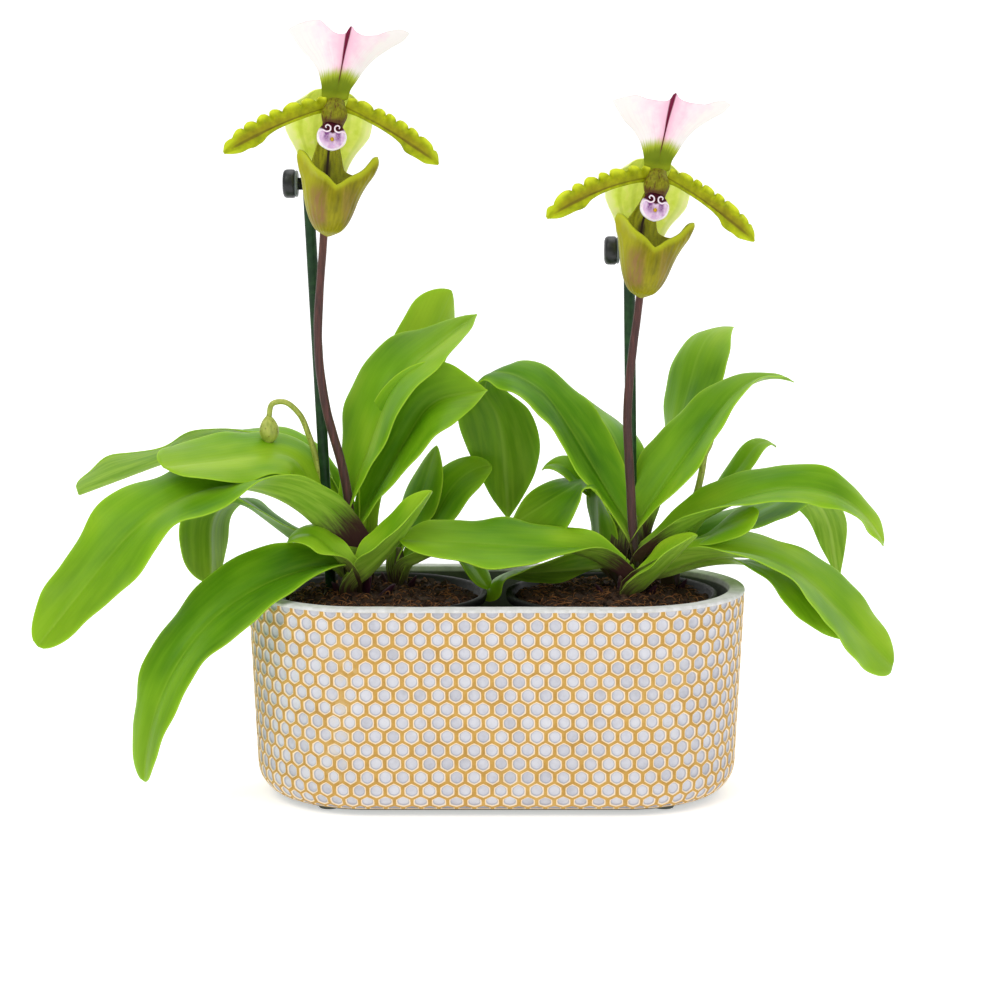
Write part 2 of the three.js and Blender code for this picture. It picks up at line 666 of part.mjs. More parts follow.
const SCAPES = {
  scape_left: {
    route: [
      [-62.5, 2.6, 92.5], [-62.2, 2, 116.8], [-63.4, 2, 129.7], [-66.5, 1, 144.8], [-70.7, 0, 160.2],
      [-72.8, 0, 171.2], [-74.5, 0, 184.7], [-74.7, 0, 198.2], [-74.1, 1, 211.2], [-72.3, 3, 235.1],
      [-70.7, 6, 259.9], [-68.9, 7, 280.5], [-67, 3.5, 291], [-66, -1, 293.6], [-65.6, -5, 293.2],
    ],
    radii: [1.95, 1.95, 1.95, 1.9, 1.85, 1.8, 1.7, 1.65, 1.65, 2.3, 2.8],
  },
  scape_right: {
    route: [
      [59.1, -3, 90.5], [57.9, -3.2, 109.5], [56.4, -2, 134.5], [55.1, -1, 160.3], [56, -1, 178.9],
      [57.1, -1, 189], [58.4, 0, 199], [59.7, 1, 209.1], [62.6, 4, 230.9], [65.4, 5, 251.6],
      [66.4, 1, 262.5], [66.3, -3.5, 265.2], [66.1, -7, 264.8],
    ],
    radii: [1.95, 1.95, 1.95, 1.9, 1.85, 1.8, 1.7, 1.65, 1.65, 2.3, 2.8],
  },
};
const RECEPTACLE_RADIUS = 3;

function ball(radius, [x, y, z], around = 8, down = 6) {
  const geometry = new THREE.SphereGeometry(radius, around, down);
  geometry.translate(x, y, z);
  return solidOf(geometry);
}

function scape({ route, radii }, extra = 0) {
  const stem = rod(route, radii.map((r) => r + extra), 6, 14);
  return stem.add(ball(RECEPTACLE_RADIUS + extra, route[route.length - 1]));
}

const STAKES = {
  stake_left: { foot: [-69.2, 9, 44.5], head: [-79, 9, 259.5], radius: 2.3 },
  stake_right: { foot: [59.2, 14, 44.5], head: [55.6, 8, 236.5], radius: 2.4 },
};

function stake({ foot, head, radius }, extra = 0) {
  return rod([foot, head], [radius + extra, radius + extra], 8, 1);
}

// The clip: two eyes, round the stake and round the flower stem, and a round knob to pinch
const CLIPS = {
  clip_left: { z: 258.3, stake: "stake_left", scape: "scape_left" },
  clip_right: { z: 230.5, stake: "stake_right", scape: "scape_right" },
};
const CLIP_HEIGHT = 5;
const KNOB_RADIUS = 6;
const KNOB_LENGTH = 7;

function pointAtHeight(route, z) {
  const k = route.findIndex((p) => p[2] > z);
  const [a, b] = [route[k - 1], route[k]];
  const t = (z - a[2]) / (b[2] - a[2]);
  return [lerp(a[0], b[0], t), lerp(a[1], b[1], t)];
}

function clip({ z, stake: stakeName, scape: scapeName }) {
  const { foot, head, radius } = STAKES[stakeName];
  const [sx, sy] = pointAtHeight([foot, head], z);
  const [tx, ty] = pointAtHeight(SCAPES[scapeName].route, z);
  const eye = (x, y, r) => {
    const low = z - CLIP_HEIGHT / 2;
    const high = z + CLIP_HEIGHT / 2;
    return turned([[0, low], [r, low], [r, high], [0, high]], 9, x, y);
  };
  const bar = new THREE.BoxGeometry(Math.hypot(tx - sx, ty - sy), 3, CLIP_HEIGHT);
  bar.rotateZ(Math.atan2(ty - sy, tx - sx));
  bar.translate((sx + tx) / 2, (sy + ty) / 2, z);
  const start = radius + 1;
  const knob = new THREE.LatheGeometry(
    [
      [0, start - 1], [2.5, start - 1], [2.5, start + 0.8], [KNOB_RADIUS - 0.8, start + 0.8],
      [KNOB_RADIUS - 0.8, start + 3.2], [KNOB_RADIUS, start + 3.4],
      [KNOB_RADIUS, start + KNOB_LENGTH - 0.8], [KNOB_RADIUS - 0.8, start + KNOB_LENGTH],
      [0, start + KNOB_LENGTH],
    ].map(([r, h]) => new THREE.Vector2(r, h)),
    10,
  );
  knob.rotateZ(Math.PI / 2);
  knob.translate(sx, sy, z);
  return eye(sx, sy, radius + 1.8).add(eye(tx, ty, 3.6)).add(solidOf(bar)).add(solidOf(knob));
}

// A side shoot that nods over to a closed bud, and a second shoot with a bud on the right plant
const SHOOTS = {
  bud_left: {
    route: [
      [-66, 9, 100.5], [-74, 9, 129.5], [-78, 8.5, 146.8], [-79.7, 8.3, 152], [-83.3, 7, 161.1],
      [-89.4, 5, 166.8], [-94.8, 4, 166.1], [-96.2, 4, 160.6],
    ],
    radius: 1.3,
    bud: [-96.4, 4, 155.3],
  },
  bud_right: {
    route: [
      [77, 16.5, 98], [87, 25, 125.5], [89, 27, 133.5], [90.5, 29, 141.5], [92.5, 31, 145],
      [96, 34.2, 157.5],
    ],
    radius: 1.5,
    bud: [96.5, 34.5, 160],
  },
};
const BUD_RADIUS = 4.2;
const BUD_LENGTH = 12.5;

function shoot({ route, radius, bud }, extra = 0) {
  const stem = rod(route, [radius + extra, radius + extra], 5, 9);
  const shape = new THREE.SphereGeometry(BUD_RADIUS + extra, 8, 6);
  shape.scale(1, 1, BUD_LENGTH / (2 * BUD_RADIUS));
  shape.translate(...bud);
  return stem.add(solidOf(shape));
}

// Flowers. Their own frame has x to the right, y up and z out of the front, from the receptacle

const FLOWERS = {
  left: {
    centre: [-65.6, -8, 293],
    yaw: 12,
    roll: 5.5,
    dorsal: {
      roll: 3,
      lean: 4.4,
      crest: [
        [-1, 26.7], [-0.7, 30.6], [-0.36, 29], [-0.1, 26], [0, 28.5], [0.1, 27.5], [0.36, 26.2], [0.7, 28.8],
        [1, 28.2],
      ],
    },
    petals: [{ tip: [-46.6, -21.7], arch: 3.2 }, { tip: [41.8, -26.4], arch: 2 }],
    sink: [0, 0],
  },
  right: {
    centre: [66.1, -10, 264.5],
    yaw: 12,
    roll: 7.5,
    dorsal: {
      roll: 6,
      lean: 1.6,
      crest: [
        [-1, 25.7], [-0.7, 28.4], [-0.36, 27.8], [-0.1, 27.9], [0, 30.8], [0.1, 29.6], [0.36, 28.2],
        [0.7, 29.5], [1, 29.2],
      ],
    },
    petals: [{ tip: [-47.4, -19.3], arch: 5.8 }, { tip: [40.8, -29.4], arch: 1.8 }],
    sink: [-2, 3.2],
  },
};

// Half widths along the parts of the flower: the share of the length, then millimetres
const WING_LEFT = [[0, 5.7], [0.19, 6.8], [0.42, 9.3], [0.58, 12.8], [0.7, 16.8], [0.85, 20.6], [1, 24]];
const WING_RIGHT = [[0, 5.1], [0.12, 5.4], [0.24, 6.9], [0.46, 10.4], [0.61, 13.8], [0.77, 19.3], [1, 26]];
const SYNSEPAL_HALF = [
  [0, 11], [0.06, 14], [0.15, 16.6], [0.3, 18], [0.4, 17.6], [0.5, 15.6], [0.6, 12.8], [0.71, 10.4],
  [0.85, 8], [1, 3],
];
const SYNSEPAL_DROP = 38;
const PETAL_ABOVE = [[0, 4.4], [0.16, 5], [0.35, 5.5], [0.7, 5.5], [0.84, 4.7], [0.94, 2.9], [1, 0.8]];
const PETAL_BELOW = [
  [0, 1.8], [0.16, 1], [0.5, 1.2], [0.6, 1.9], [0.69, 3.6], [0.77, 3.6], [0.94, 2], [1, 0.8],
];
const PETAL_RUFFLES = 5;
const FLOWER_BLADE = 0.8;

function interpolate(table, x) {
  const k = clamp(table.findIndex(([at]) => at >= x), 1, table.length - 1);
  const [[x0, y0], [x1, y1]] = [table[k - 1], table[k]];
  return lerp(y0, y1, clamp((x - x0) / (x1 - x0), 0, 1));
}

function flowerFrame(centre, yaw, roll) {
  const frame = new THREE.Matrix4().makeTranslation(...centre);
  frame.multiply(new THREE.Matrix4().makeRotationX(Math.PI / 2));
  frame.multiply(new THREE.Matrix4().makeRotationZ(-roll * DEG));
  frame.multiply(new THREE.Matrix4().makeRotationY(yaw * DEG));
  return frame;
}

function evenly(count, from = 0, to = 1) {
  return Array.from({ length: count + 1 }, (_, i) => lerp(from, to, i / count));
}

function dorsalSepal(frame, { lean, crest }) {
  const at = (s, u) => {
    const a = Math.abs(u);
    const half = interpolate(u < 0 ? WING_LEFT : WING_RIGHT, s);
    const y = 0.3 + s * (interpolate(crest, u) - 0.3);
    const keel = 1.6 * (1 - a) * smooth(s / 0.1) * (1 - smooth(s / 0.6));
    const z = 0.8 + 6 * s ** 1.4 - 5 * a ** 2.4 * smooth(s / 0.7) - keel;
    return new THREE.Vector3(u * half + lean * (0.75 * s ** 0.8 - 0.1), y, z).applyMatrix4(frame);
  };
  const half = [0.1, 0.36, 0.7, 1];
  const lanes = [...half.map((u) => -u).reverse(), 0, ...half];
  return sheet(at, evenly(5), lanes, () => FLOWER_BLADE);
}

function synsepal(frame) {
  const at = (s, u) => {
    const half = interpolate(SYNSEPAL_HALF, s);
    const y = 3.5 - (SYNSEPAL_DROP + 3.5) * s;
    const z = -4 - 4.5 * smooth(s / 0.5) + 3.4 * u * u;
    return new THREE.Vector3(u * half - 1.6, y, z).applyMatrix4(frame);
  };
  return sheet(at, evenly(7), [-1, -0.5, 0, 0.5, 1], () => FLOWER_BLADE);
}

function petal(frame, { tip, arch }) {
  const side = Math.sign(tip[0]);
  const foot = new THREE.Vector3(side * 3.2, -3.5, 2.6);
  const end = new THREE.Vector3(tip[0], tip[1], 4);
  const bow = foot.clone().lerp(end, 0.5).add(new THREE.Vector3(0, arch, 4));
  const spine = new THREE.QuadraticBezierCurve3(foot, bow, end);
  const at = (s, u) => {
    const point = spine.getPoint(s);
    const along = spine.getTangent(s);
    const up = new THREE.Vector3(-along.y * side, along.x * side, 0).normalize();
    const half = interpolate(u > 0 ? PETAL_ABOVE : PETAL_BELOW, s);
    const strength = smooth(s / 0.15) * smooth((1 - s) / 0.08);
    const share = u > 0 ? u * u : 0.6 * u * u * smooth((s - 0.62) / 0.18);
    const phase = 2 * Math.PI * PETAL_RUFFLES * s;
    point.addScaledVector(up, half * u + 0.5 * share * Math.sin(phase) * strength);
    point.z += share * (1.3 * strength * Math.cos(phase) - 0.8);
    return point.applyMatrix4(frame);
  };
  return sheet(at, evenly(15), [-1, 0, 1], () => FLOWER_BLADE);
}

// The pouch: half width, half depth and centre depth at each height below the receptacle
const POUCH_LEVELS = [
  [-3, 7, 5, 1], [-9, 8.5, 6.5, 3], [-16, 11, 7.5, 4], [-24, 14.4, 8.5, 6], [-33, 12.9, 9.5, 8.5],
  [-41, 10.8, 9.5, 9.5], [-48, 8.6, 8.2, 9.5], [-53, 5.6, 5.6, 9.3], [-55.4, 2.6, 2.6, 9],
];
// Height of the rim round the pouch, by the share of a half turn from the front to the back
const POUCH_RIM = [
  [0, -34.2], [0.1, -31.2], [0.22, -28.6], [0.3, -27], [0.37, -23.5], [0.41, -22.1], [0.5, -22], [0.6, -27.6],
  [0.66, -29.8], [0.8, -29.4], [0.86, -24], [0.89, -14], [0.96, -5], [1, -1.5],
];
const POUCH_WALL = 0.9;
const POUCH_SIDES = 16;

function levelAt(y) {
  const table = POUCH_LEVELS.map((level) => [-level[0], level]);
  return [1, 2, 3].map((k) => interpolate(table.map(([at, level]) => [at, level[k]]), -y));
}

function pouch(frame, sink) {
  const rings = 6;
  const points = [];
  const layers = [];
  for (const inset of [0, POUCH_WALL]) {
    const layer = [];
    for (let i = 0; i <= rings; i++) {
      const ring = [];
      for (let j = 0; j < POUCH_SIDES; j++) {
        const angle = (2 * Math.PI * j) / POUCH_SIDES;
        const around = Math.abs(angle > Math.PI ? 2 * Math.PI - angle : angle) / Math.PI;
        const rim = interpolate(POUCH_RIM, around);
        const y = lerp(rim, -55.4 + inset, (i / rings) ** 0.9);
        const [wide, deep, middle] = levelAt(y);
        const ear = 2.2 * Math.exp(-(((around - 0.42) / 0.15) ** 2)) * (1 - smooth(i / 3));
        const fold = 2.2 * smooth((around - 0.8) / 0.2) * (1 - smooth(i / 6));
        const rear = smooth((around - 0.72) / 0.12);
        const shift = lerp(1.9 * smooth((y + 42) / 18), -1.3 * smooth((y + 44) / 14), rear);
        const drop = smooth((-13 - y) / 14);
        const x = Math.sin(angle) * (wide - inset + ear) + shift + sink[0] * drop;
        const z = middle + Math.cos(angle) * (deep - inset - fold);
        ring.push(points.push(new THREE.Vector3(x, y + sink[1] * drop, z).applyMatrix4(frame)) - 1);
      }
      layer.push(ring);
    }
    const foot = new THREE.Vector3(sink[0], -56.2 + inset * 1.6 + sink[1], 9).applyMatrix4(frame);
    layer.push(points.push(foot) - 1);
    layers.push(layer);
  }
  const [outer, inner] = layers;
  const faces = [];
  for (let i = 0; i < rings; i++) {
    faces.push(...bandBetween(outer[i], outer[i + 1]));
    faces.push(...bandBetween(inner[i], inner[i + 1]).map(([a, b, c]) => [a, c, b]));
  }
  faces.push(...fan(outer[rings], outer[rings + 1]));
  faces.push(...fan([...inner[rings]].reverse(), inner[rings + 1]));
  faces.push(...bandBetween(inner[0], outer[0]));
  return solidFrom(points, faces);
}

// The column and the shield at its end, with two curled ridges on the shield's upper face
function column(frame, extra = 0) {
  const place = (x, y, z) => new THREE.Vector3(x, y, z).applyMatrix4(frame).toArray();
  const route = [place(-0.4, -3.2, 4), place(-1, -7, 6.2), place(-1.6, -11, 8.4)];
  const stub = rod(route, [2.8 + extra, 4 + extra, 3.2 + extra], 7, 2);
  const half = 6.2 + extra;
  const shape = new THREE.SphereGeometry(half, 8, 5);
  shape.scale(1, 1.02, (1.9 + extra) / half);
  shape.rotateX(-0.2);
  shape.translate(-2, -14.8, 10.4);
  shape.applyMatrix4(frame);
  let solid = stub.add(solidOf(shape));
  for (const side of [-1, 1]) {
    const curl = new THREE.TorusGeometry(2, 0.65 + extra, 3, 6);
    curl.translate(-2 + side * 2.5, -12.3, 11.9);
    curl.applyMatrix4(frame);
    solid = solid.add(solidOf(curl));
  }
  return solid;
}

// Assembly

const placed = new Map();
const colours = new Map();

function place(name, solid, colour) {
  placed.set(name, solid);
  colours.set(name, colour);
}

function meet(a, b) {
  const [p, q] = [a.boundingBox(), b.boundingBox()];
  return [0, 1, 2].every((k) => p.min[k] < q.max[k] && q.min[k] < p.max[k]);
}

function cutBy(solid, cutters) {
  let left = solid;
  for (const cutter of cutters) {
    if (meet(left, cutter)) left = left.subtract(cutter);
  }
  return largestBody(left);
}

place("planter", planter(), "cement");
place("liner_left", liner(-LINER_OFFSET), "liner");
place("liner_right", liner(LINER_OFFSET), "liner");

// Rods first: whatever meets them later is cut clear
const cutters = [];
for (const [name, spec] of Object.entries(STAKES)) {
  place(name, stake(spec), "stake");
  cutters.push(stake(spec, GAP));
}
for (const [name, spec] of Object.entries(SCAPES)) {
  place(name, scape(spec), "scape");
  cutters.push(scape(spec, GAP));
}
for (const [name, spec] of Object.entries(CLIPS)) place(name, cutBy(clip(spec), cutters), "clip");
for (const [name, spec] of Object.entries(CROWNS)) {
  place(name, cutBy(crown(spec), cutters), "sheath");
}
for (const spec of Object.values(CROWNS)) cutters.push(crown(spec, GAP));
place("medium_left", cutBy(medium(-LINER_OFFSET, 7), cutters), "bark");
place("medium_right", cutBy(medium(LINER_OFFSET, 21), cutters), "bark");

for (const [name, spec] of Object.entries(SHOOTS)) {
  place(name, cutBy(shoot(spec), cutters), "lime");
}
for (const spec of Object.values(SHOOTS)) cutters.push(shoot(spec, GAP));
for (const [name, leaf] of Object.entries(LEAVES)) {
  place(name, cutBy(leafSolid(leaf), cutters), "leaf");
  cutters.push(leafSolid(leaf, GAP));
}

for (const [side, { centre, yaw, roll, dorsal, petals, sink }] of Object.entries(FLOWERS)) {
  const frame = flowerFrame(centre, yaw, roll);
  const upright = flowerFrame(centre, yaw, 0);
  const own = [scape(SCAPES[`scape_${side}`], GAP)];
  place(`column_${side}`, cutBy(column(frame), own), "lilac");
  own.push(column(frame, GAP));
  const sepal = dorsalSepal(flowerFrame(centre, yaw, dorsal.roll), dorsal);
  place(`dorsal_sepal_${side}`, cutBy(sepal, own), "white");
  place(`petal_a_${side}`, cutBy(petal(upright, petals[0]), own), "lime");
  place(`petal_b_${side}`, cutBy(petal(upright, petals[1]), own), "lime");
  place(`synsepal_${side}`, cutBy(synsepal(frame), own), "lime");
  place(`pouch_${side}`, cutBy(pouch(frame, sink), own), "pouch");
}

// Meshes, centred on the bounding box in plan
const all = new THREE.Box3();
const meshes = [];
for (const [name, solid] of placed) {
  const { numProp, vertProperties, triVerts } = solid.getMesh();
  const positions = new Float32Array((vertProperties.length / numProp) * 3);
  for (let i = 0; i < positions.length / 3; i++) {
    for (let k = 0; k < 3; k++) positions[3 * i + k] = vertProperties[numProp * i + k];
  }
  const geometry = new THREE.BufferGeometry();
  geometry.setAttribute("position", new THREE.BufferAttribute(positions, 3));
  geometry.setIndex(new THREE.BufferAttribute(new Uint32Array(triVerts), 1));
  geometry.computeVertexNormals();
  const mesh = new THREE.Mesh(geometry, materials[colours.get(name)]);
  mesh.name = name;
  meshes.push(mesh);
  geometry.computeBoundingBox();
  all.union(geometry.boundingBox);
}
const middle = all.getCenter(new THREE.Vector3());
const group = new THREE.Group();
group.name = "slipper_orchid_planter";
for (const mesh of meshes) {
  mesh.geometry.translate(-middle.x, -middle.y, 0);
  group.add(mesh);
}
export default group;
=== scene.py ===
"""Looks for the potted slipper orchids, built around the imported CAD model."""

import math

import bpy
import numpy as np
from mathutils import Matrix, Vector


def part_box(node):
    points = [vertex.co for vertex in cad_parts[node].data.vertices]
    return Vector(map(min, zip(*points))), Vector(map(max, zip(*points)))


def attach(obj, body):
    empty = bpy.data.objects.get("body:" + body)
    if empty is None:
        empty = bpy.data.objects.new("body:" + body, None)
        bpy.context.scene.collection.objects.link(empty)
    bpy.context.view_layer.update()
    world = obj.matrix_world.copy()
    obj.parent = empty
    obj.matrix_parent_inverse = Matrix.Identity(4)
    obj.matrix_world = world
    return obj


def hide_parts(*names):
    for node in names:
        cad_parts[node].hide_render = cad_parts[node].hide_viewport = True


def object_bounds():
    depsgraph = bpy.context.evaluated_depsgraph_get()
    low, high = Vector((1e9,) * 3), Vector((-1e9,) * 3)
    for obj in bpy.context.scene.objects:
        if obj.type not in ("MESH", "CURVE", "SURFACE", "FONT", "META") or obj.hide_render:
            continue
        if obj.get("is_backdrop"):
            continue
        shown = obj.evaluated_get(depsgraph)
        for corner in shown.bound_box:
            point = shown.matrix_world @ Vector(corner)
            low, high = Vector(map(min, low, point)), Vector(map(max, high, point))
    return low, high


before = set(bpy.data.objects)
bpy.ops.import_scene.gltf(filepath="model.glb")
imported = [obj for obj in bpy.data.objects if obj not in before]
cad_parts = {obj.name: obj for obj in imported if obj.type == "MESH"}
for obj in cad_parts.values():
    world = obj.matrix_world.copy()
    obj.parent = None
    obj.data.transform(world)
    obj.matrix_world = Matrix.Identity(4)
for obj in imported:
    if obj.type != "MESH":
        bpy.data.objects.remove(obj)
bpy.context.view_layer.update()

# Everything below is worked out in millimetres round the middle of the planter's foot
planter_low, planter_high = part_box("planter")
ORIGIN = np.array([planter_low.x + planter_high.x, planter_low.y + planter_high.y, 0.0]) / 2
MM = 0.001

# Camera at the photograph's angle
LENS = 86.04
CAMERA_PLACE = (0.0015, -1.0, 0.2805)
CAMERA_DOWN = 8.8


def make_camera():
    data = bpy.data.cameras.new("camera")
    data.sensor_width = 36
    data.lens = LENS
    camera = bpy.data.objects.new("camera", data)
    camera.location = Vector(CAMERA_PLACE) + Vector(ORIGIN)
    camera.rotation_euler = (math.radians(90 - CAMERA_DOWN), 0, 0)
    bpy.context.scene.collection.objects.link(camera)
    bpy.context.scene.camera = camera
    data.clip_end = 50


make_camera()


# Small mathematical helpers

def smooth(t):
    """From 0 to 1 with a soft start and a soft end"""
    x = np.clip(t, 0, 1)
    return x * x * (3 - 2 * x)


def step(value, start, end):
    """How far a value has gone softly from start (0) to end (1)"""
    return smooth((np.asarray(value, float) - start) / (end - start))


def lerp(a, b, t):
    return a + (b - a) * t


def hump(value, centre, width):
    """A bell of height 1 round the centre"""
    return np.exp(-(((np.asarray(value, float) - centre) / width) ** 2))


def unit(v):
    return v / np.maximum(np.linalg.norm(v, axis=-1, keepdims=True), 1e-12)


def hermite(t, start, leaving, end, arriving):
    """Places on the cubic from start to end that leaves and arrives with the given speeds"""
    return ((2 * t**3 - 3 * t**2 + 1) * start + (t**3 - 2 * t**2 + t) * leaving
            + (-2 * t**3 + 3 * t**2) * end + (t**3 - t**2) * arriving)


def hermite_direction(t, start, leaving, end, arriving):
    return unit((6 * t**2 - 6 * t) * start + (3 * t**2 - 4 * t + 1) * leaving
                + (-6 * t**2 + 6 * t) * end + (3 * t**2 - 2 * t) * arriving)


def curve_through(table, x):
    """A smooth curve through a table of x, y pairs, without overshoot between them"""
    xs = np.array([p[0] for p in table], float)
    ys = np.array([p[1:] for p in table], float)
    k = np.clip(np.searchsorted(xs, x, side="right") - 1, 0, len(xs) - 2)
    t = np.clip((x - xs[k]) / (xs[k + 1] - xs[k]), 0, 1)[..., None]
    slope = np.zeros_like(ys)
    secant = np.diff(ys, axis=0) / np.diff(xs)[:, None]
    before, after = secant[:-1], secant[1:]
    same = before * after > 0
    slope[1:-1] = np.where(same, 2 * before * after / np.where(same, before + after, 1), 0)
    slope[0], slope[-1] = secant[0], secant[-1]
    gap = (xs[k + 1] - xs[k])[..., None]
    out = hermite(t, ys[k], gap * slope[k], ys[k + 1], gap * slope[k + 1])
    return out[..., 0] if out.shape[-1] == 1 else out


def with_ends(p):
    """The points with one more beyond each end, in line with the last two"""
    return np.vstack([2 * p[0] - p[1], p, 2 * p[-1] - p[-2]])


def spline(points, count):
    """Points at even distances along a centripetal Catmull-Rom curve through the given ones"""
    p = np.array(points, float)
    if len(p) == 2:
        return p[0] + (p[1] - p[0]) * np.linspace(0, 1, count)[:, None]
    p = with_ends(p)
    t = np.concatenate([[0], np.cumsum(np.linalg.norm(np.diff(p, axis=0), axis=1) ** 0.5)])
    dense = []
    for i in range(1, len(p) - 2):
        x = np.linspace(t[i], t[i + 1], 24, endpoint=False)[:, None]
        a1 = p[i - 1] + (p[i] - p[i - 1]) * (x - t[i - 1]) / (t[i] - t[i - 1])
        a2 = p[i] + (p[i + 1] - p[i]) * (x - t[i]) / (t[i + 1] - t[i])
        a3 = p[i + 1] + (p[i + 2] - p[i + 1]) * (x - t[i + 1]) / (t[i + 2] - t[i + 1])
        b1 = a1 + (a2 - a1) * (x - t[i - 1]) / (t[i + 1] - t[i - 1])
        b2 = a2 + (a3 - a2) * (x - t[i]) / (t[i + 2] - t[i])
        dense.append(b1 + (b2 - b1) * (x - t[i]) / (t[i + 1] - t[i]))
    dense = np.vstack([*dense, p[-2]])
    run = np.concatenate([[0], np.cumsum(np.linalg.norm(np.diff(dense, axis=0), axis=1))])
    even = np.linspace(0, run[-1], count)
    return np.stack([np.interp(even, run, dense[:, k]) for k in range(3)], axis=1)


def through(points, t):
    """Points of a uniform Catmull-Rom curve through the given ones, at shares of its length in steps"""
    p = with_ends(np.array(points, float))
    place = np.clip(t, 0, 1) * (len(p) - 3)
    k = np.minimum(place.astype(int), len(p) - 4)
    x = (place - k)[:, None]
    a, b, c, d = p[k], p[k + 1], p[k + 2], p[k + 3]
    return 0.5 * (2 * b + (c - a) * x + (2 * a - 5 * b + 4 * c - d) * x**2 + (3 * b - a - 3 * c + d) * x**3)


def hash_noise(points, scale, seed=0):
    """Smooth value noise from -1 to 1 at points given in millimetres"""
    q = np.asarray(points, float) / scale
    base = np.floor(q).astype(np.int64)
    f = q - base
    f = f * f * (3 - 2 * f)
    total = np.zeros(q.shape[:-1])
    for corner in np.ndindex(2, 2, 2):
        c = base + np.array(corner)
        h = (c[..., 0] * 73856093) ^ (c[..., 1] * 19349663) ^ (c[..., 2] * 83492791)
        h = h ^ (seed * 2654435761)
        h = (h ^ (h >> 13)) * 1274126177
        value = ((h ^ (h >> 16)) & 0xFFFF) / 32767.5 - 1
        wx, wy, wz = (f[..., k] if corner[k] else 1 - f[..., k] for k in range(3))
        total += value * wx * wy * wz
    return total


# Meshes

class Shape:
    """Points, faces and point attributes of one mesh, gathered from several closed parts"""

    def __init__(self):
        self.points, self.faces, self.attributes, self.count = [], [], {}, 0

    def add(self, points, faces, **attributes):
        """One more closed part. An attribute is a value for each point or one for all"""
        points = np.asarray(points, float).reshape(-1, 3)
        self.points.append(points)
        self.faces.extend(tuple(int(i) + self.count for i in f) for f in faces)
        for name, value in attributes.items():
            value = np.asarray(value, float)
            if value.size == 1:
                value = np.full(len(points), float(value))
            value = value.reshape(len(points), -1)
            self.attributes.setdefault(name, []).append((self.count, value))
        self.count += len(points)

    def build(self, name, material, nodes, flat=False):
        """The mesh object, placed from millimetres into the frame, that stands in for the nodes"""
        mesh = bpy.data.meshes.new(name)
        mesh.from_pydata((np.vstack(self.points) * MM + ORIGIN).tolist(), [], self.faces)
        for key, chunks in self.attributes.items():
            width = chunks[0][1].shape[1]
            whole = np.zeros((self.count, width))
            for start, value in chunks:
                whole[start:start + len(value)] = value
            kind, field = ("FLOAT", "value") if width == 1 else ("FLOAT_VECTOR", "vector")
            data = mesh.attributes.new(key, kind, "POINT").data
            data.foreach_set(field, whole.ravel().astype(np.float32))
        mesh.update()
        if not flat:
            mesh.polygons.foreach_set("use_smooth", [True] * len(mesh.polygons))
        mesh.materials.append(material)
        mesh.validate()
        obj = bpy.data.objects.new(name, mesh)
        bpy.context.scene.collection.objects.link(obj)
        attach(obj, "root")
        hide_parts(*nodes)


def outward(points, faces):
    """The faces wound so that the closed solid has positive volume"""
    p = np.asarray(points, float).reshape(-1, 3)
    tri = [(f[0], f[i], f[i + 1]) for f in faces for i in range(1, len(f) - 1)]
    t = np.array(tri, dtype=np.int64)
    q = p - p.mean(axis=0)
    volume = np.einsum("ij,ij->i", q[t[:, 0]], np.cross(q[t[:, 1]], q[t[:, 2]])).sum()
    return [tuple(reversed(f)) for f in faces] if volume < 0 else faces


def grid_faces(rows, columns, start=0, around=False):
    """Four-sided faces between the points of a grid, whose last column may join the first"""
    i, j = np.meshgrid(np.arange(rows - 1), np.arange(columns if around else columns - 1), indexing="ij")
    k = (j + 1) % columns
    a, b = start + i * columns + j, start + (i + 1) * columns + j
    c, d = start + (i + 1) * columns + k, start + i * columns + k
    return np.stack([a, b, c, d], axis=-1).reshape(-1, 4).tolist()


def end_fans(rows, columns, first, last):
    """Triangles from the points first and last to the end rows of a tube"""
    faces = []
    for j in range(columns):
        k = (j + 1) % columns
        faces.append([first, j, k])
        faces.append([last, (rows - 1) * columns + k, (rows - 1) * columns + j])
    return faces


def tube(rings):
    """Points and faces of a tube through rings of the same number of points, with its ends closed"""
    rows, columns = rings.shape[:2]
    points = np.vstack([rings.reshape(-1, 3), rings[0].mean(axis=0), rings[-1].mean(axis=0)])
    faces = grid_faces(rows, columns, around=True)
    faces += end_fans(rows, columns, rows * columns, rows * columns + 1)
    return points, outward(points, faces)


def full_turn(count):
    return np.linspace(0, 2 * np.pi, count, endpoint=False)


def frames_along(path):
    """Two side vectors that turn as little as possible along a path"""
    tangent = unit(np.gradient(path, axis=0))
    side = np.zeros_like(path)
    start = np.array([0.0, 1.0, 0.0]) if abs(tangent[0][1]) < 0.8 else np.array([1.0, 0.0, 0.0])
    side[0] = unit(start - tangent[0] * np.dot(start, tangent[0]))
    for i in range(1, len(path)):
        side[i] = unit(side[i - 1] - tangent[i] * np.dot(side[i - 1], tangent[i]))
    return side, np.cross(tangent, side)


def swept(path, radius, around, lump=None):
    """Rings of the given radii round a path. lump gives how far each point stands out from its ring"""
    side, other = frames_along(path)
    cosine, sine = np.cos(full_turn(around))[:, None], np.sin(full_turn(around))[:, None]
    offset = cosine * side[:, None, :] + sine * other[:, None, :]
    rings = path[:, None, :] + radius[:, None, None] * offset
    if lump is not None:
        rings = rings + offset * lump(rings)[..., None]
    return rings


def rod(route, radii, around, steps, lump=None):
    """A closed rod along a route, its radius blended through the given ones"""
    place = np.linspace(0, 1, steps + 1) * (len(radii) - 1)
    k = np.minimum(place.astype(int), len(radii) - 2)
    r = np.array(radii, float)
    radius = r[k] + (r[k + 1] - r[k]) * smooth(place - k)
    return tube(swept(spline(route, steps + 1), radius, around, lump))


